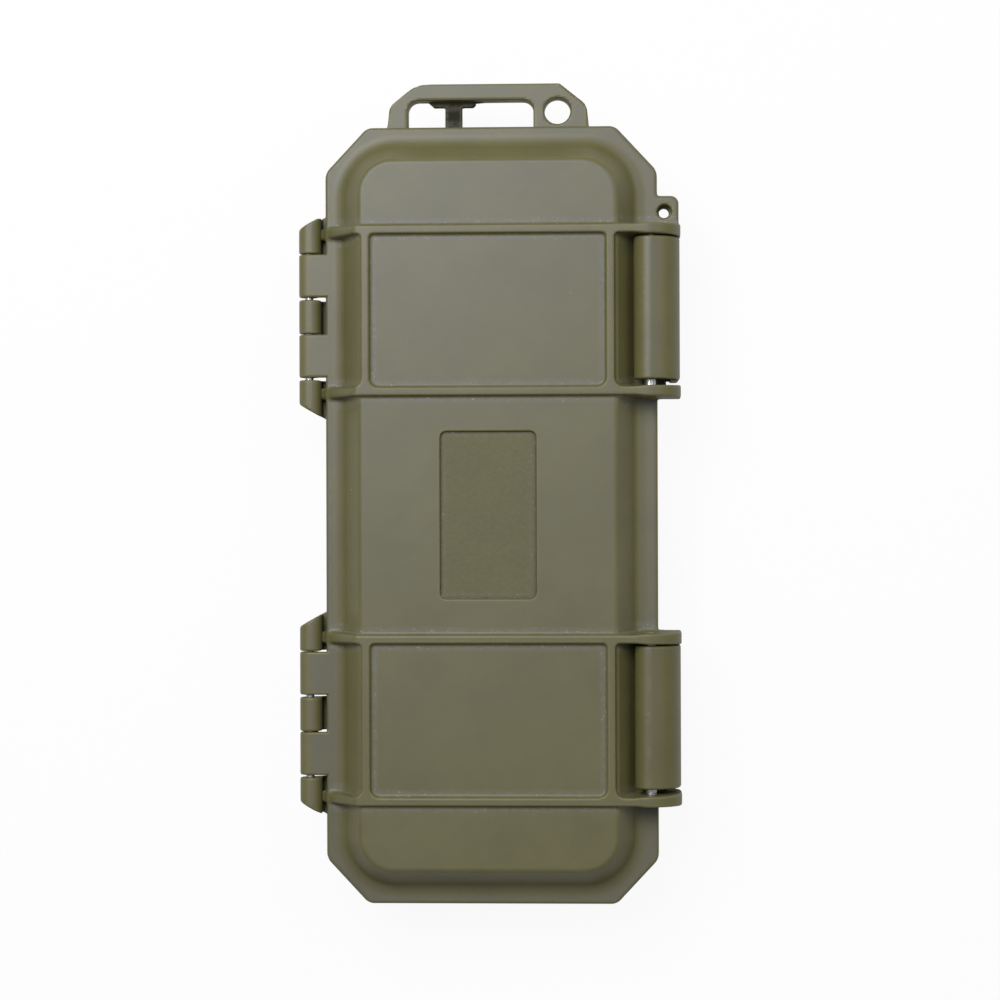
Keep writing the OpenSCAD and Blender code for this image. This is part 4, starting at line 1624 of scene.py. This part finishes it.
@dataclass(frozen=True)
class Studio:
    """Pale floor, white surroundings and soft lamps."""

    floor_half: float = 3.0
    floor_drop_mm: float = 0.15
    floor_tone: float = 0.80
    cloud_mm: float = 300
    cloud_depth: float = 0.01
    white_share: float = 0.93
    fill: float = 0.22
    mirrored: float = 0.12
    lamps: tuple[Lamp, ...] = (
        Lamp("key_softbox", (-0.21, 0.35, 0.80), (0.46, 0.46), 7.2),
        Lamp("side_softbox", (0.56, 0.32, 0.60), (0.6, 0.6), 1.6),
    )

    def _whiteness(self, sheet: Sheet) -> Signal:
        """How white the studio is to a ray: fully to camera and transmission rays, faintly to mirrored."""
        seen = sheet.node("ShaderNodeLightPath", {}, "Is Camera Ray")
        glossy = sheet.node("ShaderNodeLightPath", {}, "Is Glossy Ray")
        through = sheet.node("ShaderNodeLightPath", {}, "Is Transmission Ray")
        return (seen + glossy * self.mirrored + through).clamped()

    def _world(self) -> None:
        """Surroundings: white for the camera and faintly in reflections, plain fill light otherwise."""
        world = bpy.data.worlds.new("studio_surroundings")
        bpy.context.scene.world = world
        world.use_nodes = True
        sheet = Sheet(world.node_tree)
        fill = sheet.node("ShaderNodeBackground", {"Color": (1, 1, 1), "Strength": self.fill})
        white = sheet.node("ShaderNodeBackground", {"Color": (1, 1, 1), "Strength": 1.0})
        mixed = sheet.node("ShaderNodeMixShader", {0: self._whiteness(sheet), 1: fill, 2: white})
        sheet.node("ShaderNodeOutputWorld", {"Surface": mixed})

    def _floor(self) -> None:
        """Pale floor that looks white and keeps the case's shadow."""
        half = self.floor_half / MM
        drop = -self.floor_drop_mm
        corners = np.array([(-half, -half, drop), (half, -half, drop),
                            (half, half, drop), (-half, half, drop)], float)
        floor = mesh_of("studio_floor", corners, np.array([[0, 1, 2, 3]]))
        material = bpy.data.materials.new("pale_floor")
        material.use_nodes = True
        sheet = Sheet(material.node_tree)
        tone = (self.floor_tone,) * 3
        cloud = sheet.noise(self.cloud_mm, 1)
        paper = sheet.blend(cloud, tone, (self.floor_tone - self.cloud_depth,) * 3)
        matte = sheet.node("ShaderNodeBsdfPrincipled", {
            "Base Color": paper, "Roughness": 0.9, "Specular IOR Level": 0.1})
        white = sheet.node("ShaderNodeEmission", {"Color": (1, 1, 1), "Strength": 1.0})
        share = self._whiteness(sheet) * self.white_share
        mixed = sheet.node("ShaderNodeMixShader", {0: share, 1: matte, 2: white})
        sheet.node("ShaderNodeOutputMaterial", {"Surface": mixed})
        floor.data.materials.append(material)

    def build(self) -> None:
        """Builds floor, surroundings and lamps."""
        bpy.context.scene.view_settings.view_transform = "Standard"
        self._world()
        self._floor()
        for lamp in self.lamps:
            lamp.hang()


@dataclass(frozen=True)
class PhotoCamera:
    """Camera over the case, at the place and angle of the photograph."""

    place: tuple[float, float, float] = (0.03021, 0.00146, 0.74764)
    turn_deg: tuple[float, float, float] = (0.2258, 2.2136, -0.1645)
    lens: float = 88.97
    sensor: float = 36.0
    clip: tuple[float, float] = (0.01, 20.0)

    def stand(self) -> None:
        """Makes the camera and gives it to the scene."""
        data = bpy.data.cameras.new("photo_camera")
        data.sensor_width = self.sensor
        data.lens = self.lens
        data.clip_start, data.clip_end = self.clip
        obj = bpy.data.objects.new("photo_camera", data)
        obj.location = self.place
        obj.rotation_euler = Euler([math.radians(a) for a in self.turn_deg], "XYZ")
        bpy.context.scene.collection.objects.link(obj)
        bpy.context.scene.camera = obj


def main() -> None:
    """Builds the case in order, then its studio."""
    logging.basicConfig(level=logging.INFO, format="%(name)s: %(message)s")
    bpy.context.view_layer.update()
    form = CaseForm()
    lining = FoamLining(form)
    makers: list[Callable[[], bpy.types.Object]] = [
        BaseShell(form).build, LidShell(form).build,
        *(SnapLatch(form, side).build for side in LatchSide),
        SealRing(form).build,
        *((lambda piece=piece: lining.build(piece)) for piece in Padding)]
    for make in makers:
        piece = make()
        log.info("%s: %d faces", piece.name, len(piece.data.polygons))
    for pin in SteelPins().dress():
        log.info("%s dressed", pin.name)
    Studio().build()
    PhotoCamera().stand()


if __name__ == "__main__":
    main()
